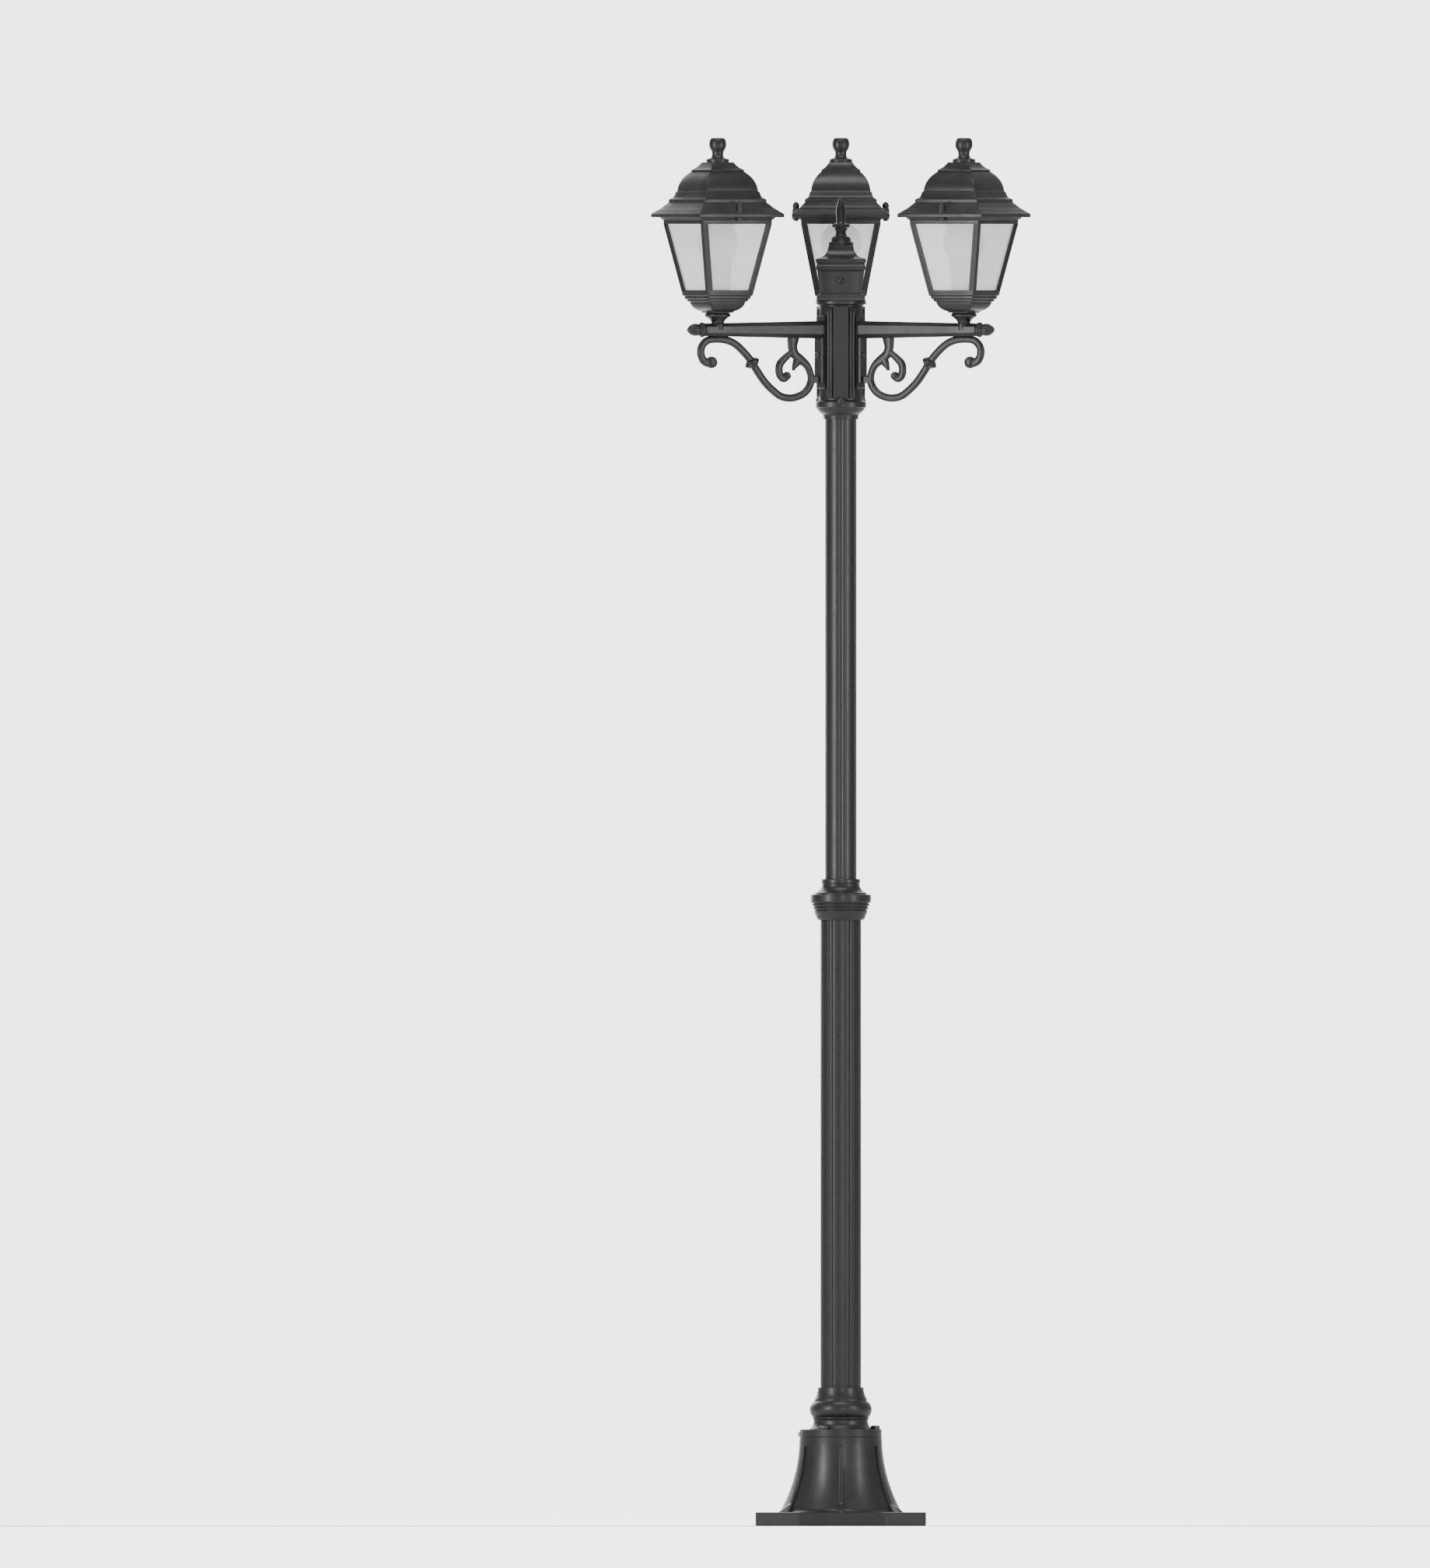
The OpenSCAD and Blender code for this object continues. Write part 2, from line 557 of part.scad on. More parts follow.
module cage() color(enamel) difference() {
    f = cage_foot_half;
    h = cage_head_half;
    union() {
        square_stack(concat(pan_line(), [[f, sill_h], [h, window_top + 0.5],
            [h + 0.3, window_top + 6], [h + 2.5, window_top + 7.5], [h + 3.4, cage_top - 0.6],
            [h + 3.4, cage_top]]));
        for (a = [0, 180]) rotate([0, 0, a]) {
            translate([0, nut_off, cage_top - rim_h]) cylinder(r = ear_r, h = rim_h);
            translate([-ear_r, h + 1, cage_top - rim_h]) cube([2 * ear_r, nut_off - h, rim_h]);
        }
    }
    square_stack([[f - 14, pan_floor_h], [f - 9, pan_floor_h + 8], [f - 8, sill_h],
        [f - 8, sill_h + 0.01]]);
    square_stack([[f - cage_wall, sill_h], [h - cage_wall, window_top + 0.5],
        [h - cage_wall, cage_top + 1]]);
    for (a = [0 : 90 : 270]) rotate([0, 0, a])
        trapezoid(f - post_w, h - post_w, window_low, window_top);
    translate([0, 0, stem_h - 1]) cylinder(r = tube_r + 0.1, h = 40);
    for (side = [-1, 1]) translate([0, side * nut_off, cage_top - 10])
        cylinder(r = stud_r + 0.1, h = 20);
}

module panes() color(clear) for (a = [0 : 90 : 270]) rotate([0, 0, a]) {
    z0 = sill_h + pane_gap;
    z1 = window_top + 0.5;
    lean = (cage_head_half - cage_foot_half) / (window_top + 0.5 - sill_h);
    x0 = cage_foot_half - cage_wall - pane_gap + lean * pane_gap;
    x1 = x0 + lean * (z1 - z0);
    edge = pane_t + pane_gap;
    intersection() {
        rotate([90, 0, 0]) linear_extrude(150, center = true)
            polygon([[x0 - pane_t, z0], [x0, z0], [x1, z1], [x1 - pane_t, z1]]);
        trapezoid(x0 - edge, x1 - edge, z0, z1);
    }
}

// Roof: share says how far out a point is, from 0 at the finial to 1 at the eave
function roof_x(share) = roof_top_half + (eave_half - roof_top_half) * share;
function roof_skirt() = bow([roof_x(skirt_share), cage_top + skirt_foot_h],
    [roof_x(0.515), cage_top + 36.5], -1.6);
function roof_dome() = concat(
    bow([roof_x(0.485), cage_top + 37.4], [roof_x(0.2), cage_top + 66.5], 3.4, 8),
    [[roof_x(0.215), cage_top + 67.5], [roof_x(0.2), cage_top + 68.5]],
    bow([roof_x(0.17), cage_top + 69.5], [roof_x(0), cage_top + roof_h], -0.8, 4));
function roof_outer() = concat(
    [for (p = [[1, 0], [1, eave_h], [0.975, eave_h + 1], [0.9, 9.6], [0.885, 10], [0.83, 12.4],
        [0.815, 12.8], [0.76, 16], [0.745, 16.4]]) [roof_x(p.x), cage_top + p.y]],
    roof_skirt(), roof_dome());
function roof_inner() = [for (p = roof_outer())
    [min(roof_open_half, p.x - roof_wall), min(p.y, cage_top + roof_h - 6) - roof_wall]];

module roof() color(enamel) difference() {
    union() {
        square_stack(roof_outer());
        for (side = [-1, 1]) translate([0, side * nut_off, cage_top])
            cylinder(r = nut_r + 0.6, h = nut_seat - cage_top);
    }
    square_stack([for (p = roof_inner()) if (p.y > cage_top + 16) p]);
    square_block(min(roof_open_half, roof_x(skirt_share) - skirt_wall), cage_top - 1,
        cage_top + skirt_foot_h);
    translate([0, 0, cage_top + roof_h - 20]) cylinder(r = 4.1, h = 30);
    for (side = [-1, 1]) translate([0, side * nut_off, 0]) {
        translate([0, 0, cage_top - 1]) cylinder(r = stud_r + 0.2, h = 30);
        translate([0, 0, nut_seat]) cylinder(r = nut_r + 0.4, h = 30);
    }
}

module roof_finial() color(enamel) {
    z = cage_top + roof_h;
    turned(concat([[4, z - 10], [4, z], [16.6, z], [16.6, z + 4.4], [13, z + 5.2]],
        bow([10.2, z + 6.2], [8.2, z + 11], -0.6, 4),
        bow([8.2, z + 13.5], [9.4, z + 17.5], -0.3, 3),
        [[10.6, z + 18.4]],
        bow([10.9, z + 19.4], [10.6, z + 32.2], 1.7, 6),
        [[9, z + 34.6], [4, z + 35.4]]),
        [[0, z - 10], [0, z + 35.4]]);
}

module roof_nuts() color(enamel) for (side = [-1, 1])
    translate([0, side * nut_off, nut_seat])
        turned(concat([[nut_r, 0], [nut_r, 6.5], [4.4, 8]],
            bow([4.7, 9], [1, nut_h], 1.6, 5)),
            [[stud_r + 0.2, 0], [stud_r + 0.2, 10], [0, 10], [0, nut_h]]);

module roof_studs() color(steel) for (side = [-1, 1])
    translate([0, side * nut_off, cage_top - rim_h]) {
        translate([0, 0, -2.4]) cylinder(r = 3.5, h = 2.4);
        cylinder(r = stud_r, h = rim_h + 5.5 + 8.5);
    }

module lamp_holder() color(white) difference() {
    translate([0, 0, holder_foot])
        turned([[10.5, 0], [13, 2], [13, 12], [holder_r, 15], [holder_r, holder_h - 2],
            [holder_r - 1.5, holder_h]], [[0, 0], [0, holder_h]]);
    translate([0, 0, holder_foot - 1]) cylinder(r = tube_r + 0.1, h = 8);
    translate([0, 0, holder_foot + 14]) cylinder(r = 13.6, h = 40);
}

module lamp() {
    foot = holder_foot + 14.5;
    neck = foot + 27;
    centre = neck + 38;
    color(nickel) turned([[4, foot], [5, foot + 2], [12.9, foot + 5], [12.9, neck]],
        [[0, foot], [0, neck]]);
    color(white) turned(concat([[13.2, neck], [13.6, neck + 4]],
        bow([14.2, neck + 6], [globe_r * 0.82, centre - globe_r * 0.573], -2, 4),
        [for (a = [-28 : 8 : 76]) [globe_r * cos(a), centre + globe_r * sin(a)]],
        [[2, centre + globe_r]]), [[0, neck], [0, centre + globe_r]]);
}

base_casting();
pole_socket();
flange_bolts();
earth_screw();
lower_tube();
mid_collar();
collar_screw();
upper_tube();
head_socket();
column_head();
head_ring();
head_screws();
arm_screws();
terminal_block();
head_cap();
cap_screw();
cap_finial();
for (i = [0 : 2]) {
    side = SIDES[i];
    on_arm(i) arm_casting();
    on_arm(i) arm_tip();
    on_arm(i) lamp_lead();
    on_lantern(i) stem();
    on_lantern(i) tube_and_nut();
    on_lantern(i) cage();
    on_lantern(i) panes();
    on_lantern(i) roof();
    on_lantern(i) roof_finial();
    on_lantern(i) roof_nuts();
    on_lantern(i) roof_studs();
    on_lantern(i) lamp_holder();
    on_lantern(i) lamp();
}
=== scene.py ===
"""Street lamp post with three lanterns: the finished look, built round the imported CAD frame.

Every round or square casting is a loft: a profile of (radius, height) pairs is carried round a
ring, and the whole grid of points is worked out at once with numpy. Lengths in this file are in
millimetres in the arithmetic and are turned to metres when a mesh is made.
"""

import math

import bpy
import numpy as np
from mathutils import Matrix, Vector


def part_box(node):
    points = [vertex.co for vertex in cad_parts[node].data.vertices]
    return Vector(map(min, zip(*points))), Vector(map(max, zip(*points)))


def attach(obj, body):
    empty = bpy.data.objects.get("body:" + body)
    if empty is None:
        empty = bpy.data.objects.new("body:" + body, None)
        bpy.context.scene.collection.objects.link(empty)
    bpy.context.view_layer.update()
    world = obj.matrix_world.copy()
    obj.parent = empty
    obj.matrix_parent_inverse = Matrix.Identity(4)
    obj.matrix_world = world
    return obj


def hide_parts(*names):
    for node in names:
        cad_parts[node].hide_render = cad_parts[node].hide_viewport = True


bl_info = {
    "name": "Street lamp post",
    "version": (1, 0, 0),
    "blender": (4, 5, 0),
    "location": "View3D > Sidebar > Lamp post",
    "description": "Builds the finished surfaces of a three-lantern street lamp post",
    "category": "Object",
}

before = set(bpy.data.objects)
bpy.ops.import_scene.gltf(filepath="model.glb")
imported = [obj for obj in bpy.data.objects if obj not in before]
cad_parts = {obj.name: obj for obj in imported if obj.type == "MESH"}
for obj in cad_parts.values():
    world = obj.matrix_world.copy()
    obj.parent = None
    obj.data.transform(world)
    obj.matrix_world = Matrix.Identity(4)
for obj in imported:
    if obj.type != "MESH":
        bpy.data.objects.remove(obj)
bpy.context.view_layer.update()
MM = 0.001
POST = "post"
SIDES = ("left", "right", "rear")


def extent(node):
    """Lowest and highest corner of a CAD node, in millimetres."""
    low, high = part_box(node)
    return np.array(low) / MM, np.array(high) / MM


def low_z(node):
    """Height of a CAD node's underside, in millimetres."""
    return float(extent(node)[0][2])


def high_z(node):
    """Height of a CAD node's top, in millimetres."""
    return float(extent(node)[1][2])


def half_x(node):
    """Half of a CAD node's width along X, in millimetres."""
    low, high = extent(node)
    return float(high[0] - low[0]) / 2


def middle(node):
    """Plan position of a CAD node's centre, in millimetres."""
    low, high = extent(node)
    return (low[:2] + high[:2]) / 2


# Levels and radii that the finished pieces take from the frame, in millimetres
Z_FLANGE = high_z("base_casting")
Z_LOWER = high_z("pole_socket")
Z_MID = low_z("mid_collar")
Z_UPPER = high_z("mid_collar")
Z_HEAD = low_z("head_socket")
Z_CAP = low_z("head_cap")
Z_LAMP = low_z("rear_stem")
LOWER_R = half_x("lower_tube") + 0.25
UPPER_R = half_x("upper_tube")
PLATE_R = half_x("base_casting")
FLANGE_R = half_x("pole_socket")
REACH = float(np.hypot(*middle("rear_stem")))
EAVE = half_x("rear_roof")
BEARINGS = {
    side: math.atan2(*reversed(middle(f"{side}_stem"))) for side in SIDES
}

# What the finished pieces share beyond that
BAR_RISE = 10.4
Z_ARM = Z_LAMP - BAR_RISE
Z_SOCKET = Z_FLANGE + 13.9
Z_PADS = Z_HEAD + 26.4
SEAT_R = 33.6
PLATE_T = 19.4
BELL_WALL = 6.0
BELL_FLARE = 28.3
ANCHOR_R = 107.0
CABLE_R = 18.0
FIT = 0.3


# ---------------------------------------------------------------- lines and rings


def bow(start, end, sag, steps=8):
    """Points from start to end, pushed to the right of the way by sag times 4t(1 - t)."""
    start, end = np.array(start, float), np.array(end, float)
    t = np.linspace(0, 1, steps + 1)[:, None]
    way = end - start
    side = np.array([way[1], -way[0]]) / np.hypot(*way)
    return start + way * t + side * (4 * sag * t * (1 - t))


def line(*pieces):
    """One outline from points and curves laid end to end."""
    return np.vstack([np.atleast_2d(np.array(p, float)) for p in pieces])


def soften(outline, radius=0.6, steps=3, closed=False):
    """Rounds each corner of an outline.

    A corner is cut back by the radius along both its sides, and the cut is bridged by the
    parabola (1 - t)^2 a + 2t(1 - t) corner + t^2 b. A holding point on each side, a little
    further back, keeps the flats between corners flat when they are shaded.
    """
    p = np.asarray(outline, float)
    keep = np.ones(len(p), bool)
    keep[1:] = np.linalg.norm(np.diff(p, axis=0), axis=1) > 1e-6
    p = p[keep]
    before = np.roll(p, 1, axis=0)
    after = np.roll(p, -1, axis=0)
    to_a, to_b = before - p, after - p
    len_a = np.maximum(np.linalg.norm(to_a, axis=1), 1e-9)
    len_b = np.maximum(np.linalg.norm(to_b, axis=1), 1e-9)
    cut = np.minimum(radius, 0.3 * np.minimum(len_a, len_b))
    unit_a, unit_b = to_a / len_a[:, None], to_b / len_b[:, None]
    a, b = p + unit_a * cut[:, None], p + unit_b * cut[:, None]
    hold_a, hold_b = p + unit_a * 1.5 * cut[:, None], p + unit_b * 1.5 * cut[:, None]
    t = np.linspace(0, 1, steps + 1)[None, :, None]
    arc = (1 - t) ** 2 * a[:, None] + 2 * t * (1 - t) * p[:, None] + t**2 * b[:, None]
    full = np.concatenate([hold_a[:, None], arc, hold_b[:, None]], axis=1)
    if closed:
        return full.reshape(-1, 2)
    return np.vstack([p[:1], full[1:-1].reshape(-1, 2), p[-1:]])


def spline(points, steps=6):
    """Catmull-Rom curve: each stretch is a cubic whose end slopes are half its neighbours' gap."""
    p = np.asarray(points, float)
    q = np.vstack([p[:1], p, p[-1:]])
    t = np.linspace(0, 1, steps, endpoint=False)[None, :, None]
    a, b, c, d = (q[i : len(p) - 1 + i, None] for i in range(4))
    body = 0.5 * (
        2 * b
        + (c - a) * t
        + (2 * a - 5 * b + 4 * c - d) * t**2
        + (3 * b - a - 3 * c + d) * t**3
    )
    return np.vstack([body.reshape(-1, p.shape[1]), p[-1:]])


def circle(count):
    """Angles of evenly spaced points round a full turn."""
    return np.linspace(0, 2 * np.pi, count, endpoint=False)


def raised(plans, z):
    """Rings from one plan outline per row, each put at its row's height."""
    height = np.broadcast_to(np.asarray(z)[:, None, None], plans.shape[:2] + (1,))
    return np.concatenate([plans, height], axis=-1)


def polar_plan(radius, a):
    """Plan points from a radius and an angle: (r cos a, r sin a)."""
    return np.stack([radius * np.cos(a), radius * np.sin(a)], axis=-1)


def polar_rings(radius, z):
    """Rings whose radius is a table: radius[i, j] is the radius at height z[i] and angle j."""
    return raised(polar_plan(radius, circle(radius.shape[1])), z)


def round_rings(profile, count=72):
    """Rings of a turned piece, whose radius is the same all the way round."""
    return polar_rings(np.repeat(profile[:, :1], count, axis=1), profile[:, 1])


def square_rings(profile, corner=1.2, arc=4, side=3):
    """Rings of a square casting: four straight sides joined by quarter circles.

    A point is corner centre + corner radius x (cos a, sin a), and the sides' points are shared
    out evenly between one corner's end and the next corner's start.
    """
    half = profile[:, 0]
    r = np.minimum(corner, half * 0.45)
    a = np.linspace(0, np.pi / 2, arc + 1)
    quarter = []
    for k in range(4):
        turn = k * np.pi / 2
        sign = np.array([np.cos(turn + np.pi / 4), np.sin(turn + np.pi / 4)]) * math.sqrt(2)
        centre = (half - r)[:, None, None] * np.round(sign)
        ends = np.stack([np.cos(a + turn), np.sin(a + turn)], -1)
        quarter.append(centre + r[:, None, None] * ends)
    loop = []
    for k in range(4):
        here, after = quarter[k], quarter[(k + 1) % 4]
        loop.append(here)
        share = np.linspace(0, 1, side + 2)[1:-1][None, :, None]
        loop.append(here[:, -1:] * (1 - share) + after[:, :1] * share)
    return raised(np.concatenate(loop, axis=1), profile[:, 1])


def prism_rings(outline, z0, z1, edge=0.5):
    """Rings of an extruded flat outline whose two rims are drawn in by the edge width."""
    outline = np.asarray(outline, float)
    centre = outline.mean(axis=0)
    away = outline - centre
    reach = np.linalg.norm(away, axis=1, keepdims=True)
    drawn = centre + away * (1 - edge / np.maximum(reach, edge * 2))
    near = centre + away * (1 - 0.3 * edge / np.maximum(reach, edge * 2))
    rise = edge * np.array([0, 0.3, 1, 1.6])
    plans = [drawn, near, outline, outline]
    return raised(np.stack(plans + plans[::-1]), np.concatenate([z0 + rise, z1 - rise[::-1]]))


def sweep_rings(path, wide, thick, count=20, power=2.5):
    """Rings of a bar swept along a path in the XZ plane.

    The section is a superellipse: across the path it is wide x |cos a|^(2 / power), and along Y
    it is thick x |sin a|^(2 / power), each with its sign.
    """
    tangent = np.gradient(path, axis=0)
    tangent /= np.linalg.norm(tangent, axis=1, keepdims=True)
    normal = np.column_stack([-tangent[:, 1], tangent[:, 0]])
    a = circle(count)
    c = np.sign(np.cos(a)) * np.abs(np.cos(a)) ** (2 / power)
    s = np.sign(np.sin(a)) * np.abs(np.sin(a)) ** (2 / power)
    across = np.asarray(wide)[:, None] * c
    x = path[:, :1] + normal[:, :1] * across
    z = path[:, 1:] + normal[:, 1:] * across
    y = -np.asarray(thick)[:, None] * s
    return np.stack([x, y, z], axis=-1)


# ---------------------------------------------------------------- meshes


def loft(rings, closed=False):
    """Points and faces of a skin over rings, with a fan over each end unless it is closed."""
    m, n, _ = rings.shape
    i = np.arange(m if closed else m - 1)[:, None]
    j = np.arange(n)[None, :]
    k, l = (i + 1) % m, (j + 1) % n
    quads = np.stack([i * n + j, i * n + l, k * n + l, k * n + j], -1).reshape(-1, 4)
    points = rings.reshape(-1, 3)
    faces = quads.tolist()
    if not closed:
        points = np.vstack([points, rings[0].mean(axis=0), rings[-1].mean(axis=0)])
        j = j[0]
        l = (j + 1) % n
        low = np.column_stack([np.full(n, m * n), l, j])
        high = np.column_stack([np.full(n, m * n + 1), (m - 1) * n + j, (m - 1) * n + l])
        faces += low.tolist() + high.tolist()
    return points, faces


def turned(profile, edge, count=72, closed=False):
    """A turned piece: a profile with softened corners, carried round the axis.

    A closed profile ends where it starts, and its last point is dropped.
    """
    soft = soften(profile, edge)
    return loft(round_rings(soft[:-1] if closed else soft, count), closed)


def spun(part, angle):
    """A part turned about Z by an angle in radians."""
    points, faces = part
    c, s = math.cos(angle), math.sin(angle)
    return points @ np.array([[c, s, 0], [-s, c, 0], [0, 0, 1]]), faces


def copies(part, count, first=0.0):
    """Evenly turned copies of a part about Z, the first at an angle in radians."""
    return [spun(part, first + k * 2 * math.pi / count) for k in range(count)]


def moved(part, x=0.0, y=0.0, z=0.0):
    """A part shifted by a distance along each axis."""
    points, faces = part
    return points + np.array([x, y, z]), faces


def outward(part):
    """A part drawn along +Z laid down to point along +X: (x, y, z) becomes (z, y, -x)."""
    points, faces = part
    return points[:, [2, 1, 0]] * np.array([1, 1, -1]), faces


def leaned(part, angle):
    """A part drawn along +Z leaned in the XZ plane by an angle in radians, towards +X."""
    points, faces = part
    c, s = math.cos(angle), math.sin(angle)
    return points @ np.array([[c, 0, -s], [0, 1, 0], [s, 0, c]]), faces


def merged(parts):
    """Several parts as one set of points and faces."""
    points, faces, start = [], [], 0
    for p, f in parts:
        points.append(p)
        faces += [[v + start for v in face] for face in f]
        start += len(p)
    return np.vstack(points), faces


def at_lamp(part, side):
    """A part drawn round a lantern's own axis, from the arm's seat up, put in its place."""
    return moved(spun(moved(part, x=REACH), BEARINGS[side]), z=Z_LAMP)


def at_arm(part, side):
    """A part drawn along +X from the column's axis at the arm's height, put in its place."""
    return moved(spun(part, BEARINGS[side]), z=Z_ARM)


# ---------------------------------------------------------------- materials


class Net:
    """One material's node tree, with a method that adds any node."""

    def __init__(self, name):
        self.material = bpy.data.materials.new(name)
        self.material.use_nodes = True
        self.tree = self.material.node_tree
        self.tree.nodes.clear()
        self.shader = self.tree.nodes.new("ShaderNodeBsdfPrincipled")
        output = self.tree.nodes.new("ShaderNodeOutputMaterial")
        self.tree.links.new(self.shader.outputs["BSDF"], output.inputs["Surface"])

    def add(self, kind, settings=None, output=0, **values):
        """Adds a node: its settings first, then each socket's value or link; returns a socket."""
        node = self.tree.nodes.new(kind)
        for key, value in (settings or {}).items():
            if key == "stops":
                self._stops(node, value)
            else:
                setattr(node, key, value)
        for key, value in values.items():
            socket = node.inputs[int(key[1:])] if key[0] == "_" else node.inputs[key]
            self.feed(socket, value)
        return Wire(self, node.outputs[output])

    def _stops(self, node, stops):
        ramp = node.color_ramp.elements
        while len(ramp) < len(stops):
            ramp.new(0.5)
        for element, (place, colour) in zip(ramp, stops):
            element.position = place
            element.color = colour

    def feed(self, socket, value):
        """Links a wire to a socket, or sets the socket's own value."""
        if isinstance(value, Wire):
            self.tree.links.new(value.socket, socket)
        else:
            socket.default_value = value

    def set(self, name, value):
        """Feeds one of the shader's own sockets."""
        self.feed(self.shader.inputs[name], value)

    def place(self):
        """Object coordinates."""
        return self.add("ShaderNodeTexCoord", output=3)

    def stretched(self, where, *scale):
        """Coordinates scaled along each axis."""
        return self.add("ShaderNodeMapping", Vector=where, Scale=scale)

    def noise(self, where, scale, detail=4.0, rough=0.5, warp=0.0):
        """Fractal noise between 0 and 1."""
        return self.add("ShaderNodeTexNoise", Vector=where, Scale=scale, Detail=detail,
                        Roughness=rough, Distortion=warp)

    def cells(self, where, scale):
        """Distance to the nearest of a scatter of points."""
        return self.add("ShaderNodeTexVoronoi", Vector=where, Scale=scale)

    def remap(self, value, low, high, to_low=0.0, to_high=1.0):
        """Stretches one range of a wire onto another, held at its ends."""
        return self.add("ShaderNodeMapRange", _0=value, _1=low, _2=high, _3=to_low, _4=to_high)

    def blend(self, share, first, second):
        """Colour between two colours."""
        return self.add("ShaderNodeMix", {"data_type": "RGBA"}, output=2,
                        _0=share, _6=first, _7=second)

    def bump(self, height, strength, distance):
        """Feeds the shader's normal from a height."""
        self.set("Normal", self.add("ShaderNodeBump", Height=height, Strength=strength,
                                    Distance=distance))

    def paint(self, share, low, high, first, second):
        """Base colour between two colours, by a wire stretched from low to high."""
        self.set("Base Color", self.blend(self.remap(share, low, high), first, second))


class Wire:
    """An output socket that Python's operators turn into Math nodes."""

    def __init__(self, net, socket):
        self.net, self.socket = net, socket

    def _math(self, operation, first, second):
        return self.net.add("ShaderNodeMath", {"operation": operation}, _0=first, _1=second)

    def __add__(self, other):
        return self._math("ADD", self, other)

    def __radd__(self, other):
        return self._math("ADD", other, self)

    def __sub__(self, other):
        return self._math("SUBTRACT", self, other)

    def __rsub__(self, other):
        return self._math("SUBTRACT", other, self)

    def __mul__(self, other):
        return self._math("MULTIPLY", self, other)

    def __rmul__(self, other):
        return self._math("MULTIPLY", other, self)


def facing_up(net):
    """1 on a surface that faces the sky, 0 on a wall or an underside."""
    normal = net.add("ShaderNodeNewGeometry", output=1)
    z = net.add("ShaderNodeSeparateXYZ", output=2, Vector=normal)
    return net.remap(z, 0.35, 0.95)


def enamel_finish(net, where, props, fine=1.0, dust=1.0):
    """Powder coat over a sand casting: orange peel, faint casting swell, dust and rubbed spots."""
    peel = net.noise(where, 900.0 * fine, 2.0, 0.55)
    swell = net.noise(where, 70.0, 3.0, 0.5)
    cloud = net.noise(where, 14.0, 5.0, 0.6)
    speck = net.remap(net.cells(where, 380.0), 0.0, 0.11, 1.0, 0.0)
    streak = net.noise(net.stretched(where, 55.0, 55.0, 3.5), 1.0, 4.0, 0.6)
    settled = facing_up(net) * net.remap(cloud, 0.45, 0.72) * (0.2 * dust)
    chalk = net.remap(streak, 0.56, 0.8) * (0.07 * dust)
    film = net.remap(settled + chalk + speck * 0.03, 0.0, 1.0)
    body = net.blend(net.remap(cloud, 0.32, 0.7), props.enamel, props.enamel_light)
    net.set("Base Color", net.blend(film, body, props.dust))
    net.set("Roughness", net.remap(swell * 0.5 + peel * 0.25 + film * 0.7, 0.1, 0.9,
                                   props.enamel_gloss, props.enamel_gloss + 0.3))
    net.set("Coat Weight", net.remap(cloud, 0.35, 0.7, 0.14, 0.05))
    net.set("Coat Roughness", 0.2)
    net.set("Specular IOR Level", 0.42)
    net.bump(peel * 0.35 + swell * 0.65 + speck * 0.25, 0.32, 0.0009)


def metal_finish(net, where, colour, tint, rough, grain=260.0, worn=0.25):
    """Plated or turned metal: fine turning grain, smudges, and a duller film in patches."""
    turning = net.noise(net.stretched(where, 1.0, 1.0, 9.0), grain, 4.0, 0.6)
    smudge = net.noise(where, 120.0, 4.0, 0.6)
    film = net.remap(smudge, 0.42, 0.72) * worn
    net.paint(turning * 0.4 + film, 0.1, 0.7, colour, tint)
    net.set("Metallic", net.remap(film, 0.0, 1.0, 1.0, 0.75))
    net.set("Roughness", net.remap(turning * 0.5 + smudge * 0.5, 0.3, 0.7, rough, rough + 0.22))
    net.bump(turning * 0.7 + smudge * 0.3, 0.25, 0.0003)


def pane_finish(net, where, props):
    """Frosted pane: a milky sheet whose frosting thins in soft clouds, with a rippled face."""
    ripple = net.noise(where, 45.0, 2.0, 0.4, 0.6)
    frost = net.noise(where, 1300.0, 3.0, 0.6)
    cloud = net.noise(where, 22.0, 3.0, 0.5)
    net.paint(cloud, 0.3, 0.7, props.pane, props.pane_milk)
    net.set("Roughness", net.remap(frost * 0.6 + cloud * 0.4, 0.25, 0.75, 0.16, 0.4))
    net.set("Alpha", net.remap(cloud * 0.7 + frost * 0.3, 0.25, 0.75,
                               props.pane_body - 0.06, props.pane_body + 0.06))
    net.bump(ripple * 0.7 + frost * 0.3, 0.3, 0.0008)
    net.set("IOR", 1.5)
    net.set("Coat Weight", 0.3)


def glaze_finish(net, where, props):
    """Glazed ceramic: off-white with pin holes, a slight mottle and a wavy glaze."""
    mottle = net.noise(where, 60.0, 4.0, 0.6)
    pin = net.remap(net.cells(where, 900.0), 0.0, 0.12, 1.0, 0.0)
    net.paint(mottle, 0.35, 0.7, props.glaze, props.glaze_shade)
    net.set("Roughness", net.remap(mottle + pin * 0.4, 0.3, 0.9, 0.14, 0.42))
    net.bump(mottle - pin * 0.5, 0.25, 0.0004)
    net.set("Coat Weight", 0.4)


def opal_finish(net, where, props):
    """Opal lamp glass: a warm white body in soft clouds, finely grained, under a clear coat."""
    haze = net.noise(where, 35.0, 3.0, 0.5)
    grain = net.noise(where, 1500.0, 2.0, 0.5)
    net.paint(haze, 0.3, 0.7, props.opal, props.opal_warm)
    net.set("Roughness", net.remap(grain * 0.5 + haze * 0.5, 0.3, 0.7, 0.18, 0.34))
    net.bump(grain, 0.12, 0.0002)
    net.set("Coat Weight", 0.5)


def sheath_finish(net, where, props):
    """Moulded cable sheath: matt, with fine drag marks and scuffs."""
    drag = net.noise(where, 420.0, 3.0, 0.6)
    scuff = net.noise(where, 40.0, 4.0, 0.6)
    net.paint(scuff, 0.35, 0.7, props.sheath, props.sheath_shade)
    net.set("Roughness", net.remap(drag * 0.5 + scuff * 0.5, 0.3, 0.7, 0.42, 0.66))
    net.bump(drag, 0.2, 0.0003)


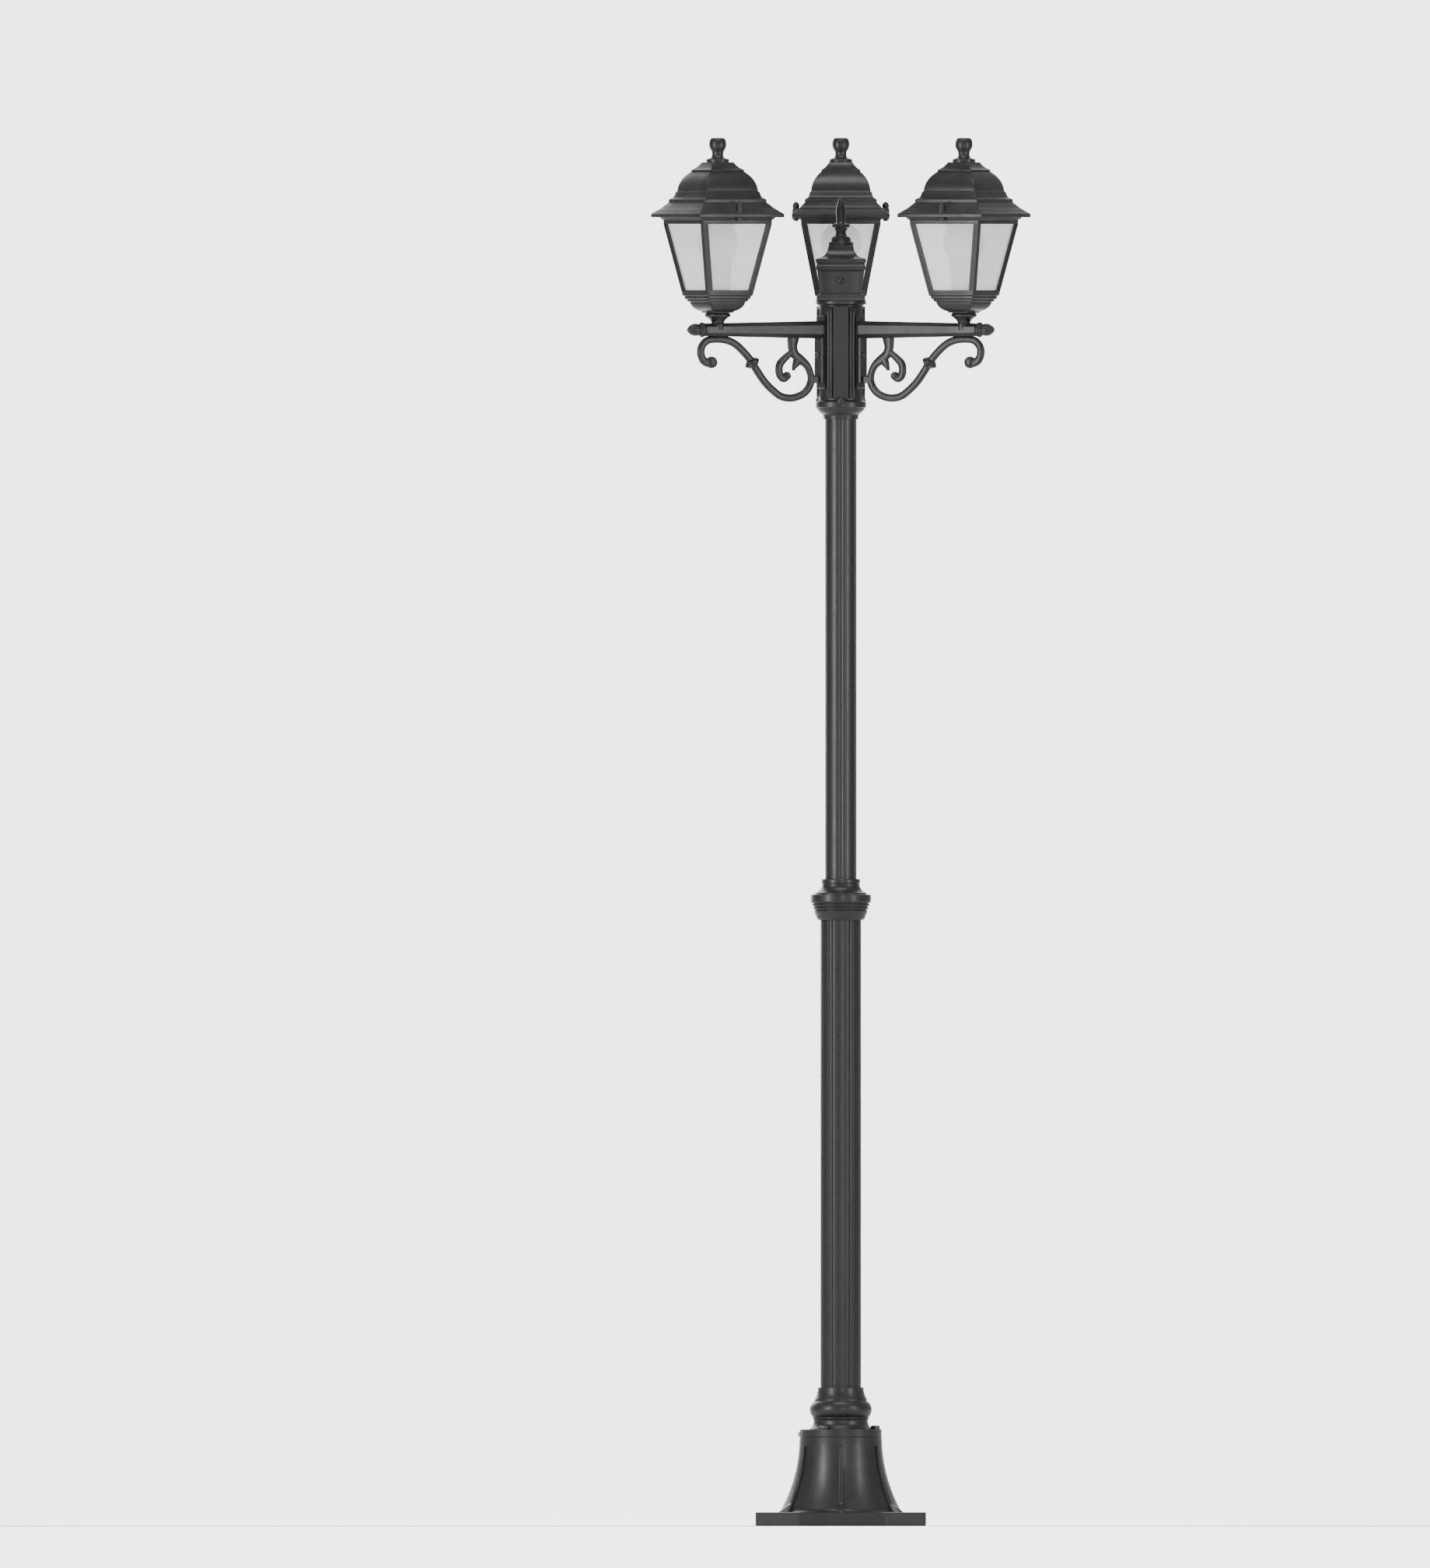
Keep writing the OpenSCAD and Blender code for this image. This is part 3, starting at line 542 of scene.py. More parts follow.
def stage_finish(net, where, props):
    """Matt studio sweep: near white, with a barely visible mottle. Its backdrop glows behind the
    post and fades at both sides, so round edges stay dark against it."""
    mottle = net.noise(where, 1.4, 3.0, 0.5)
    across = net.add("ShaderNodeSeparateXYZ", output=0, Vector=where) + 0.18
    depth = net.add("ShaderNodeSeparateXYZ", output=1, Vector=where)
    aside = net.add("ShaderNodeMath", {"operation": "ABSOLUTE"}, _0=across)
    lit = net.remap(depth, 1.2, 3.0) * net.remap(aside, 1.15, 2.1, 1.0, 0.0)
    net.set("Emission Color", net.blend(lit, (0, 0, 0, 1), (1, 1, 1, 1)))
    net.set("Emission Strength", 2.6)
    net.paint(mottle, 0.3, 0.7, props.floor, props.floor_shade)
    net.set("Roughness", net.remap(mottle, 0.3, 0.7, 0.82, 0.95))
    net.set("Specular IOR Level", 0.2)


def colour_setting(name, description, value):
    """A colour that the panel shows."""
    return bpy.props.FloatVectorProperty(
        name=name, description=description, default=value, size=4, min=0.0, max=1.0,
        subtype="COLOR",
    )


def number_setting(name, description, value, low, high):
    """A number that the panel shows."""
    return bpy.props.FloatProperty(name=name, description=description, default=value, min=low,
                                   max=high)


class LampPostFinish(bpy.types.PropertyGroup):
    """Colours and glosses of the lamp post."""

    enamel: colour_setting("Enamel", "Powder coat", (0.006, 0.0062, 0.0068, 1.0))
    enamel_light: colour_setting(
        "Thin enamel", "Powder coat where it is thin", (0.012, 0.0123, 0.013, 1.0))
    dust: colour_setting("Dust", "Dust on ledges and in streaks", (0.1, 0.097, 0.09, 1.0))
    pane: colour_setting("Pane", "Frosted pane", (0.86, 0.9, 0.9, 1.0))
    pane_milk: colour_setting(
        "Milky pane", "Pane where the frost is thick", (0.95, 0.96, 0.95, 1.0))
    glaze: colour_setting("Glaze", "Ceramic glaze", (0.84, 0.82, 0.77, 1.0))
    glaze_shade: colour_setting("Shaded glaze", "Glaze where it is thin", (0.7, 0.68, 0.63, 1.0))
    opal: colour_setting("Opal", "Lamp globe", (0.93, 0.91, 0.86, 1.0))
    opal_warm: colour_setting("Warm opal", "Lamp globe's warmer patches", (0.9, 0.85, 0.74, 1.0))
    sheath: colour_setting("Sheath", "Cable sheath", (0.6, 0.6, 0.58, 1.0))
    sheath_shade: colour_setting("Scuffed sheath", "Scuffed cable sheath", (0.42, 0.42, 0.4, 1.0))
    floor: colour_setting("Floor", "Studio floor and backdrop", (0.94, 0.94, 0.94, 1.0))
    floor_shade: colour_setting("Floor mottle", "Studio floor's mottle", (0.92, 0.92, 0.925, 1.0))
    enamel_gloss: number_setting(
        "Enamel roughness", "Roughness of clean powder coat", 0.31, 0.05, 0.9)
    pane_body: number_setting(
        "Pane body", "How much of what lies behind a pane it hides", 0.46, 0.1, 0.9)


class LampPostSizes(bpy.types.PropertyGroup):
    """Sizes of the finished surfaces that the frame leaves free."""

    casting_edge: number_setting(
        "Casting edge", "Rounding of a casting's edges in millimetres", 0.7, 0.1, 2.0)
    flute_depth: number_setting(
        "Flute depth", "Depth of the column's flutes in millimetres", 2.1, 0.5, 3.0)
    flute_width: number_setting(
        "Flute width", "Width of the column's flutes in millimetres", 8.2, 4.0, 12.0)
    reed: number_setting(
        "Reed", "Height of the reeds on the column's head in millimetres", 2.3, 0.5, 3.0)
    bud_lobes: bpy.props.IntProperty(
        name="Bud lobes", description="Ribs round the bud at an arm's tip", default=8, min=4,
        max=16)


def sizes():
    """The size settings of this scene."""
    return bpy.context.scene.lamp_post_sizes


# Each coat's record slot, its recipe, its material's name and what the recipe is given with it
COATS = {
    "enamel": ("black_enamel", enamel_finish, "black_enamel", ()),
    "enamel_small": ("black_enamel", enamel_finish, "black_enamel_small", (1.6, 0.5)),
    "bolt": ("black_steel", metal_finish, "black_steel",
             ((0.05, 0.05, 0.055, 1), (0.1, 0.098, 0.094, 1), 0.3)),
    "brass": ("brass", metal_finish, "turned_brass",
              ((0.72, 0.53, 0.24, 1), (0.42, 0.29, 0.12, 1), 0.2)),
    "nickel": ("opal_lamp", metal_finish, "nickel_cap",
               ((0.68, 0.66, 0.62, 1), (0.45, 0.43, 0.4, 1), 0.18, 500.0, 0.15)),
    "pane": ("frosted_pane", pane_finish, "frosted_pane", ()),
    "glaze": ("white_ceramic", glaze_finish, "white_ceramic", ()),
    "opal": ("opal_lamp", opal_finish, "opal_glass", ()),
    "sheath": ("cable_sheath", sheath_finish, "cable_sheath", ()),
    "stage": (None, stage_finish, "studio_sweep", ()),
}
FINISHES = {}


def finish(coat):
    """A coat's material, made the first time that it is asked for."""
    if coat not in FINISHES:
        _, recipe, name, given = COATS[coat]
        if recipe is not metal_finish:
            given = (bpy.context.scene.lamp_post_finish,) + given
        net = Net(name)
        recipe(net, net.place(), *given)
        FINISHES[coat] = net.material
    return FINISHES[coat]


def casting(name, parts, body=POST, replaces=(), coat="enamel", crease=38.0):
    """Makes a mesh object from parts, shades it, gives it its coat, ties it to its CAD body and
    hides the CAD nodes it replaces.
    """
    points, faces = merged(parts)
    mesh = bpy.data.meshes.new(name)
    mesh.from_pydata((points * MM).tolist(), [], faces)
    mesh.update()
    mesh.shade_smooth()
    mesh.set_sharp_from_angle(angle=math.radians(crease))
    piece = bpy.data.objects.new(name, mesh)
    bpy.context.scene.collection.objects.link(piece)
    mesh.materials.append(finish(coat))
    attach(piece, body)
    if replaces:
        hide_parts(*replaces)
    return piece


# ---------------------------------------------------------------- base and column


def hexagon(circumradius, corner=3.0):
    """Outline of a hexagon with a corner on +X, its corners rounded."""
    a = np.arange(6) * np.pi / 3
    points = circumradius * np.column_stack([np.cos(a), np.sin(a)])
    return soften(points, corner, 4, closed=True)


def bell_radius(t):
    """Radius up the bell: the top's radius plus the flare times (1 - t) squared."""
    top = FLANGE_R + 0.5
    return top + BELL_FLARE * (1 - t) ** 2


def rib_part(low, high):
    """One rib of the bell, along +X: a round-edged bar that kicks out to a foot on the plate,
    follows the bell's line a little proud of it, and sinks into it at the top."""
    z = np.concatenate([low + np.array([-0.5, 0.6, 1.5, 4, 8, 11, 12.5, 14]),
                        np.linspace(low + 18, high - 10.4, 22),
                        high - np.array([9.9, 9.5, 9.2, 9.0])])
    t = (z - low) / (high - low)
    kick = np.clip((12.0 - (z - low)) / 12.0, 0, 1)
    proud = 2.9 + (bell_radius(0) + 14.4 - bell_radius(t) - 2.9) * kick
    top = np.sqrt(np.clip((high - 9.0 - z) / 1.6, 0.0, 1.0))
    front = bell_radius(t) - 1.5 + (proud + 1.5) * np.maximum(top, 0.02)
    back = bell_radius(t) - 3.0
    half = 4.2 - 2.2 * t
    a = np.linspace(-np.pi / 2, np.pi / 2, 15)
    edge = np.minimum(half, 1.5)[:, None]
    nose = np.stack([front[:, None] - edge + edge * np.cos(a),
                     half[:, None] * np.sign(np.sin(a)) * np.abs(np.sin(a)) ** 0.55], -1)
    rear = np.stack([np.column_stack([back, back]), np.column_stack([half, -half])], -1)
    return loft(raised(np.concatenate([nose, rear], axis=1), z))


class LAMPPOST_OT_base(bpy.types.Operator):
    """Base casting: hexagonal plate with six anchor holes, flared bell and six ribs"""

    bl_idname = "lamppost.base"
    bl_label = "Base casting"

    def execute(self, context):
        plate = casting("plate_blank", [loft(prism_rings(hexagon(PLATE_R), 0, PLATE_T, 1.3))])
        foot_r, throat = bell_radius(0), bell_radius(0) - BELL_WALL
        drill = moved(turned([[5.5, -5.0], [5.5, PLATE_T - 1.2], [7.0, PLATE_T + 0.3],
                              [7.0, PLATE_T + 5]], 0.2, 40), x=ANCHOR_R)
        well = loft(round_rings(np.array([[throat, -5.0], [throat, 16.0]])))
        cutter = casting("plate_tool", copies(drill, 6) + [well])
        cut = plate.modifiers.new("holes", "BOOLEAN")
        cut.operation = "DIFFERENCE"
        cut.solver = "EXACT"
        cut.object = cutter
        graph = context.evaluated_depsgraph_get()
        drilled = bpy.data.meshes.new_from_object(plate.evaluated_get(graph))
        flat = np.empty(len(drilled.vertices) * 3)
        drilled.vertices.foreach_get("co", flat)
        faces = [list(p.vertices) for p in drilled.polygons]
        for scrap in (plate, cutter):
            bpy.data.objects.remove(scrap)
        plate_part = (flat.reshape(-1, 3) / MM, faces)
        t = np.linspace(0, 1, 26)
        outer = np.column_stack([bell_radius(t), PLATE_T + (Z_FLANGE - PLATE_T) * t])
        foot = bow([foot_r + 3.5, PLATE_T - 0.4], [bell_radius(0.06), PLATE_T + 6], -1.2, 5)
        ceiling = Z_FLANGE - 11.0
        inner_t = np.linspace(1, 0, 16)
        inner = np.column_stack([bell_radius(inner_t) - BELL_WALL,
                                 PLATE_T + (ceiling - PLATE_T) * inner_t])
        shoulder = line(outer[-1], [CABLE_R, Z_FLANGE], [CABLE_R, ceiling], inner[0])
        profile = line(foot, outer[2:-1], soften(shoulder, sizes().casting_edge), inner[1:],
                       [throat, PLATE_T - 4], [foot_r + 3.5, PLATE_T - 4])
        bell = loft(round_rings(profile, 144), closed=True)
        ribs = copies(rib_part(PLATE_T, Z_FLANGE), 6, math.pi / 6)
        casting("base", [plate_part, bell] + ribs, replaces=["base_casting"])
        return {"FINISHED"}


class LAMPPOST_OT_socket(bpy.types.Operator):
    """Pole socket: flange, waisted neck, torus and collar round the foot of the lower tube"""

    bl_idname = "lamppost.socket"
    bl_label = "Pole socket"

    def execute(self, context):
        z, flange, neck, tube = Z_SOCKET, FLANGE_R, LOWER_R + 9.5, LOWER_R
        profile = line([flange, Z_FLANGE], [flange, Z_FLANGE + 2.6], [flange - 0.7, Z_FLANGE + 3.1],
                       [flange, Z_FLANGE + 3.6], [flange, z], [neck + 5.8, z],
                       bow([neck + 5.2, z + 1.2], [neck, z + 13.4], -1.6, 8),
                       [neck + 1.4, z + 15.4], [neck + 1.4, z + 16.6],
                       bow([neck + 0.8, z + 17.4], [neck + 0.8, z + 39.6], 4.9, 14),
                       [neck - 1.2, z + 40.4], [neck - 1.2, z + 42.6],
                       bow([tube + 6.6, z + 46.2], [tube + 3.3, Z_LOWER - 1.2], -0.7, 6),
                       [tube + 3.3, Z_LOWER], [tube + FIT, Z_LOWER], [tube + FIT, Z_LOWER - 14],
                       [CABLE_R, Z_LOWER - 14], [CABLE_R, Z_FLANGE], [flange, Z_FLANGE])
        casting("socket", [turned(profile, sizes().casting_edge, 128, closed=True)],
                replaces=["pole_socket"])
        return {"FINISHED"}


def fluted_part(radius, wall, z0, z1, first):
    """A fluted tube. Inside a flute the radius falls by depth x (1 - u^2)^(3/4), where u runs
    from -1 to 1 across it; a raised cosine rounds each arris."""
    s = sizes()
    half = s.flute_width / 2 / radius
    u = np.array([-1.35, -1.18, -1.06, -1.0, -0.94, -0.84, -0.66, -0.45, -0.22, 0.0])
    u = np.concatenate([u, -u[:-1][::-1]])
    land = np.linspace(1.5 * half, np.pi / 3 - 1.5 * half, 8)
    local = np.concatenate([u * half, land])
    depth = np.where(np.abs(u) < 1, s.flute_depth * (1 - np.minimum(np.abs(u), 1) ** 2) ** 0.75, 0)
    depth = np.where(np.abs(np.abs(u) - 1) < 0.07, np.maximum(depth, 0.12), depth)
    depth = np.concatenate([depth, np.zeros(len(land))])
    a = np.concatenate([first + k * np.pi / 3 + local for k in range(6)])
    outside = polar_plan(np.tile(radius - depth, 6), a)
    inside = polar_plan(radius - wall, a)
    heights = [z0, z0 + 0.4, z1 - 0.4, z1, z1, z0]
    return loft(raised(np.stack([outside] * 4 + [inside] * 2), heights), closed=True)


class LAMPPOST_OT_tubes(bpy.types.Operator):
    """Two fluted tubes, the upper one with a flute at the front and the lower one with a land"""

    bl_idname = "lamppost.tubes"
    bl_label = "Fluted tubes"

    def execute(self, context):
        tubes = (("lower_tube", LOWER_R, 0.0), ("upper_tube", UPPER_R, math.pi / 6))
        for name, radius, first in tubes:
            part = fluted_part(radius, 4.5, low_z(name), high_z(name), first)
            casting(f"fluted_{name}", [part], replaces=[name])
        return {"FINISHED"}


class LAMPPOST_OT_collar(bpy.types.Operator):
    """Mid collar: a flared cup with three fine grooves, a ledge and a waisted neck"""

    bl_idname = "lamppost.collar"
    bl_label = "Mid collar"

    def execute(self, context):
        r, u, z = LOWER_R, UPPER_R, Z_MID
        cone = [[r + 4.9, z + 2.2], [r + 6.0, z + 5.6]]
        for k in range(3):
            out, up = r + 9.3 + 1.5 * k, z + 13.4 + 4.6 * k
            cone += [[out, up], [out - 1.7, up + 0.5], [out - 1.4, up + 1.9], [out + 0.8, up + 2.4]]
        profile = line([r + 3.3, z], [r + 3.5, z + 1.2], cone, [r + 13.9, z + 27],
                       [r + 13.9, z + 36.6], [u + 15, z + 37.2], [u + 15, z + 38.8],
                       bow([u + 14.2, z + 39.4], [u + 4.3, z + 52.4], -2.6, 10),
                       [u + 5.2, z + 53.2], [u + 5.2, Z_UPPER - 1.2], [u + 4.4, Z_UPPER],
                       [u + FIT, Z_UPPER], [u + FIT, z + 31], [12.0, z + 31], [12.0, z + 24],
                       [r + FIT, z + 24], [r + FIT, z], [r + 3.3, z])
        casting("mid_collar_cup", [turned(profile, 0.4, 128, closed=True)],
                replaces=["mid_collar"])
        return {"FINISHED"}


# ---------------------------------------------------------------- head


def wrapped(angle, step):
    """Angle from the nearest whole multiple of a step."""
    return (angle + step / 2) % step - step / 2


class LAMPPOST_OT_head(bpy.types.Operator):
    """Column head: a reeded drum with three flat panels, three arm seats and a ring for the cap"""

    bl_idname = "lamppost.head"
    bl_label = "Column head"

    def execute(self, context):
        s = sizes()
        drum, core = 34.2, 32.2
        lip = drum + 2.4
        z, top = Z_HEAD, Z_CAP
        u = UPPER_R
        low = soften(line([u + FIT, z], [u + 2.7, z], [u + 2.7, z + 4],
                          bow([u + 3.8, z + 7], [drum + 0.8, z + 16.4], 0.9, 8),
                          [lip - 0.6, z + 17], [lip, z + 17.8], [lip, z + 25], [core, z + 27.6],
                          [core, z + 29]), s.casting_edge)
        high = soften(line([core, top - 8], [core, top - 6.8], [lip, top - 5.2], [lip, top],
                           [24.0, top], [24.0, top + 38], [20.5, top + 38], [20.5, top]),
                      s.casting_edge)
        levels, count = 76, 450
        shaft = np.linspace(z + 29.5, top - 8.5, levels)
        rows = shaft[:, None]
        a = circle(count)
        panel = np.abs(wrapped(a - math.radians(270), 2 * np.pi / 3))
        seat = np.abs(wrapped(a - math.radians(90), 2 * np.pi / 3))
        pitch = math.radians(9.0)
        first = math.radians(25.0)
        reed = np.zeros((levels, count))
        for k in range(2):
            off = (panel - first - k * pitch) / (pitch / 2)
            bead = s.reed * np.sqrt(np.clip(1 - off**2, 0, 1))
            fade = np.clip(np.minimum(rows - shaft[0] - k, shaft[-1] - rows - k) / 6, 0, 1)
            leaf = 1 + 0.18 * np.cos((rows - shaft[0]) / (shaft[-1] - shaft[0]) * 2 * np.pi)
            reed = np.maximum(reed, bead * np.sqrt(fade) * leaf)
        shell = core + reed
        panel_half = math.atan(11.5 / drum)
        flat = drum / np.cos(np.minimum(panel, panel_half))
        shell = np.where(panel < panel_half, flat, shell)
        on_seat = (seat < math.atan(12 / SEAT_R)) & (rows > Z_ARM - 84) & (rows < Z_ARM + 20)
        shell = np.where(on_seat, SEAT_R / np.cos(np.minimum(seat, 0.36)), shell)
        ends = [np.repeat(end[:, :1], count, axis=1) for end in (low, high)]
        radius = np.concatenate([ends[0], shell, ends[1]])
        drum_part = loft(polar_rings(radius, np.concatenate([low[:, 1], shaft, high[:, 1]])))
        pad = outward(turned([[0.1, 28.0], [5.9, 28.0], [5.9, lip + 0.1], [5.2, lip + 0.15]],
                             0.4, 40))
        pads = copies(moved(pad, z=Z_PADS), 3, math.radians(270))
        casting("head_drum", [drum_part] + pads,
                replaces=["head_socket", "column_head", "head_ring"])
        return {"FINISHED"}


def corner_posts(foot, head, z0, z1, leg, wall, step, inset, edge):
    """Four corner posts: an L-shaped section with a fine step on each outer face, drawn at the
    foot and at the head and joined by straight lines. The inset is the step's share of a leg."""
    def section(half):
        far, mid, inner = half - leg, half - leg * inset, half - wall
        return soften([[far, half - step], [mid, half - step], [mid, half], [half, half],
                       [half, mid], [half - step, mid], [half - step, far], [inner, far],
                       [inner, inner], [far, inner]], edge, 3, closed=True)[::-1]
    post = loft(raised(np.stack([section(foot), section(head)]), [z0, z1]))
    return copies(post, 4)


class LAMPPOST_OT_cap(bpy.types.Operator):
    """Head cap: a small square box with framed faces under a bell and a stepped disc"""

    bl_idname = "lamppost.cap"
    bl_label = "Head cap"

    def execute(self, context):
        profile = soften(line([29.0, 0.05], [35.5, 0], [35.5, 2], [34.3, 3.2], [34.3, 6],
                              [32.4, 7.5], [32.4, 9], [29.8, 10.6], [28.4, 11.5], [32.2, 42],
                              [34.0, 43.5], [35.6, 45], [35.6, 49.6], [34.5, 51.4], [34.5, 53.4],
                              [36.2, 55], [36.2, 60], bow([32, 61.5], [18.4, 76.5], -3.4, 12),
                              [18.4, 79], [17, 79.4]), 0.45)
        body = loft(square_rings(profile, 2.4))
        posts = corner_posts(29.8, 34.0, 10.8, 43.2, 6.2, 2.4, 0.6, 0.55, 0.5)
        disc = turned([[17.6, 78], [18.4, 79.5], [18.4, 84], [15.2, 84.6], [14.5, 86],
                       [14.5, 90]], 0.5)
        box = [moved(part, z=Z_CAP) for part in [body, disc] + posts]
        casting("head_cap_box", box, "cap_group", ["head_cap"])
        spear = line([4, -2], [13, -1], [13, 1.5], bow([10.5, 2.5], [7.6, 9], -1, 5),
                     bow([7.7, 10], [9.6, 14.5], 0.5, 5), [13.2, 16], [13.2, 20], [7.8, 21.2],
                     [6.5, 23.5], bow([6, 25.6], [2, 58], 2.6, 16), [1.0, 59.6], [0.1, 59.9])
        casting("spear_finial", [moved(turned(spear, 0.5, 64), z=Z_CAP + 90)], "cap_group",
                ["cap_finial"], "enamel_small")
        return {"FINISHED"}


# ---------------------------------------------------------------- fasteners


def dome_screw(head_r, head_h):
    """Domed screw head along +Z with a hexagonal recess. The recess goes down the middle, and the
    dome is a quarter of an ellipse."""
    a = np.linspace(0, np.pi / 2, 10)[:-1]
    count = 72
    turn = circle(count)
    hexagonal = np.cos(np.pi / 6) / np.cos(wrapped(turn, np.pi / 3))
    dome = np.column_stack([head_r * np.cos(a), head_h * np.sin(a)])
    outer = line([head_r * 0.97, -0.4], [head_r, -0.1], dome)
    radius = np.repeat(outer[:, :1], count, axis=1)
    socket = head_r * 0.42
    well = np.stack([socket * 1.12 * hexagonal, socket * hexagonal, socket * hexagonal,
                     0.1 * hexagonal])
    z = np.concatenate([outer[:, 1], [head_h, head_h - 0.15, head_h * 0.35, head_h * 0.3]])
    return loft(polar_rings(np.concatenate([radius, well]), z))


def hex_bolt(across, head_h):
    """Hexagon bolt head along +Z: the top's corners are cut by a cone, with a washer face below."""
    count = 96
    turn = circle(count)
    half = across / 2
    flats = half / np.cos(wrapped(turn, np.pi / 3))
    z = np.array([0, 0.6, 0.61, head_h - 1.2, head_h - 0.8, head_h - 0.4, head_h - 0.1, head_h])
    cone = half * np.array([0.98, 0.98, 2, 1.16, 1.09, 1.02, 0.96, 0.94])
    radius = np.minimum(flats[None, :], cone[:, None])
    return loft(polar_rings(radius, z))


def placed_out(part, angle, r, z):
    """A part drawn along +Z, laid to point outwards at a bearing in degrees."""
    return moved(spun(moved(outward(part), x=r), math.radians(angle)), z=z)


class LAMPPOST_OT_fasteners(bpy.types.Operator):
    """Blackened bolts and screws of the column, and the brass earth screw"""

    bl_idname = "lamppost.fasteners"
    bl_label = "Bolts and screws"

    def execute(self, context):
        washer = turned([[0.1, 0], [7.4, 0], [7.4, 0.9], [6.8, 1.1], [0.1, 1.1]], 0.15, 48)
        bolt = merged([washer, moved(hex_bolt(13.0, 4.5), z=1.1)])
        bolts = copies(moved(bolt, x=FLANGE_R - 9.6, z=Z_SOCKET), 3)
        casting("bolt_heads", bolts, replaces=["flange_bolts"], coat="bolt")
        arms = [math.degrees(BEARINGS[side]) for side in SIDES]
        panels = [angle + 180 for angle in arms]
        screws = (("earth_screw_head", "earth_screw", 3.6, 3.0, [180], FLANGE_R,
                   Z_FLANGE + 6.95, "brass", POST),
                  ("set_screw_heads", "head_screws", 5.5, 3.4, panels, 36.8, Z_PADS,
                   "enamel_small", POST),
                  ("arm_screw_heads", "arm_screws", 4.6, 3.0, arms, 38.5, Z_ARM - 36.3,
                   "bolt", POST),
                  ("collar_screw_head", "collar_screw", 3.2, 2.4, [270], UPPER_R + 12.1,
                   Z_MID + 41.1, "enamel_small", POST),
                  ("cap_screw_head", "cap_screw", 4.7, 3.0, [270], 31.3, Z_CAP + 29.2,
                   "enamel_small", "cap_group"))
        for name, node, head_r, head_h, angles, out, z, coat, body in screws:
            heads = [placed_out(dome_screw(head_r, head_h), a, out, z) for a in angles]
            casting(name, heads, body, [node], coat)
        return {"FINISHED"}


# ---------------------------------------------------------------- arms


def tapered_ends(count, share=0.04):
    """Factors along a sweep that round off both its ends."""
    t = np.linspace(0, 1, count)
    return np.sqrt(np.clip(np.minimum(t, 1 - t) / share, 0.02, 1))


def scroll(points, thick, power=2.6):
    """A cast scroll: an oval section swept along a smooth line of (x, z, half width) points."""
    curve = spline(points, 7)
    cap = tapered_ends(len(curve), 0.025)
    return loft(sweep_rings(curve[:, :2], curve[:, 2] * cap, thick / 2 * cap, 22, power))


# The scroll, its curl and its leaf, from the bar's axis down, in rows of x, z and half width
SCROLL_DEPTH = 104
MAIN_SCROLL = [(78, -4, 10), (79.5, -14, 9), (80.3, -25, 7.2), (77, -35, 7), (67, -43, 6.6),
               (57, -51, 5.6), (51.5, -61, 5), (49.5, -72, 5.4), (54, -84, 5.6),
               (65, -93.5, 5.6), (82, -98.3, 5.6), (99, -96.2, 5.6), (113, -87.5, 5.6),
               (126, -76, 5.6), (137, -62.5, 5.6), (151, -43, 5.6), (165, -29, 5.6),
               (178, -19.5, 5.6), (192, -14.8, 5.6), (208, -14, 5.1), (222, -15.5, 5.6),
               (231, -23.5, 5.6), (233, -34, 5.6), (229, -43.5, 5.9), (222, -47.3, 6.5),
               (215, -47, 7)]
CURL = [(80, -31, 4.4), (87, -36, 4.8), (94, -41.7, 5.4), (101, -49, 5.8), (103, -57.4, 5.8),
        (101, -66, 5.8), (95.5, -70.5, 5.4), (89.5, -68.5, 4.8)]
LEAF = [(70, -38, 7), (72, -44, 7.2), (75.5, -50.5, 5), (78, -55.5, 2.4), (79, -59, 0.6)]


def bulb(x, z, r, thick=9.0):
    """Round end of a scroll: a disc with a full edge and a slightly dished face on both sides."""
    half = thick / 2
    edge = bow([r - 1.6, -half], [r - 1.6, half], 1.6, 10)
    profile = line([0.05, -half + 0.9], [r * 0.45, -half + 0.7], [r * 0.7, -half - 0.1],
                   [r - 2.4, -half - 0.2], edge, [r - 2.4, half + 0.2],
                   [r * 0.7, half + 0.1], [r * 0.45, half - 0.7], [0.05, half - 0.9])
    points, faces = loft(round_rings(profile, 44))
    laid = points[:, [0, 2, 1]] * np.array([1, -1, 1])
    return laid + np.array([x, 0, z]), faces


def octagon_bar(x0, x1, root, tip):
    """Tapered octagonal bar along +X. Its section's half width is cut by planes at every 45
    degrees, the diagonal ones standing a little further out at the root."""
    count = 96
    a = circle(count)
    t = np.array([0, 0.004, 0.02, 0.25, 0.5, 0.75, 0.99, 0.997, 1.0])
    drawn = np.array([0.97, 0.99, 1, 1, 1, 1, 1, 0.985, 0.96])
    half = (root + (tip - root) * t) / 2 * drawn
    diagonal = 1.06 - 0.02 * t
    straight = half[:, None] / np.maximum(np.abs(np.cos(a)), np.abs(np.sin(a)))
    b = a + np.pi / 4
    slanted = (half * diagonal)[:, None] / np.maximum(np.abs(np.cos(b)), np.abs(np.sin(b)))
    return outward(loft(polar_rings(np.minimum(straight, slanted), x0 + (x1 - x0) * t)))


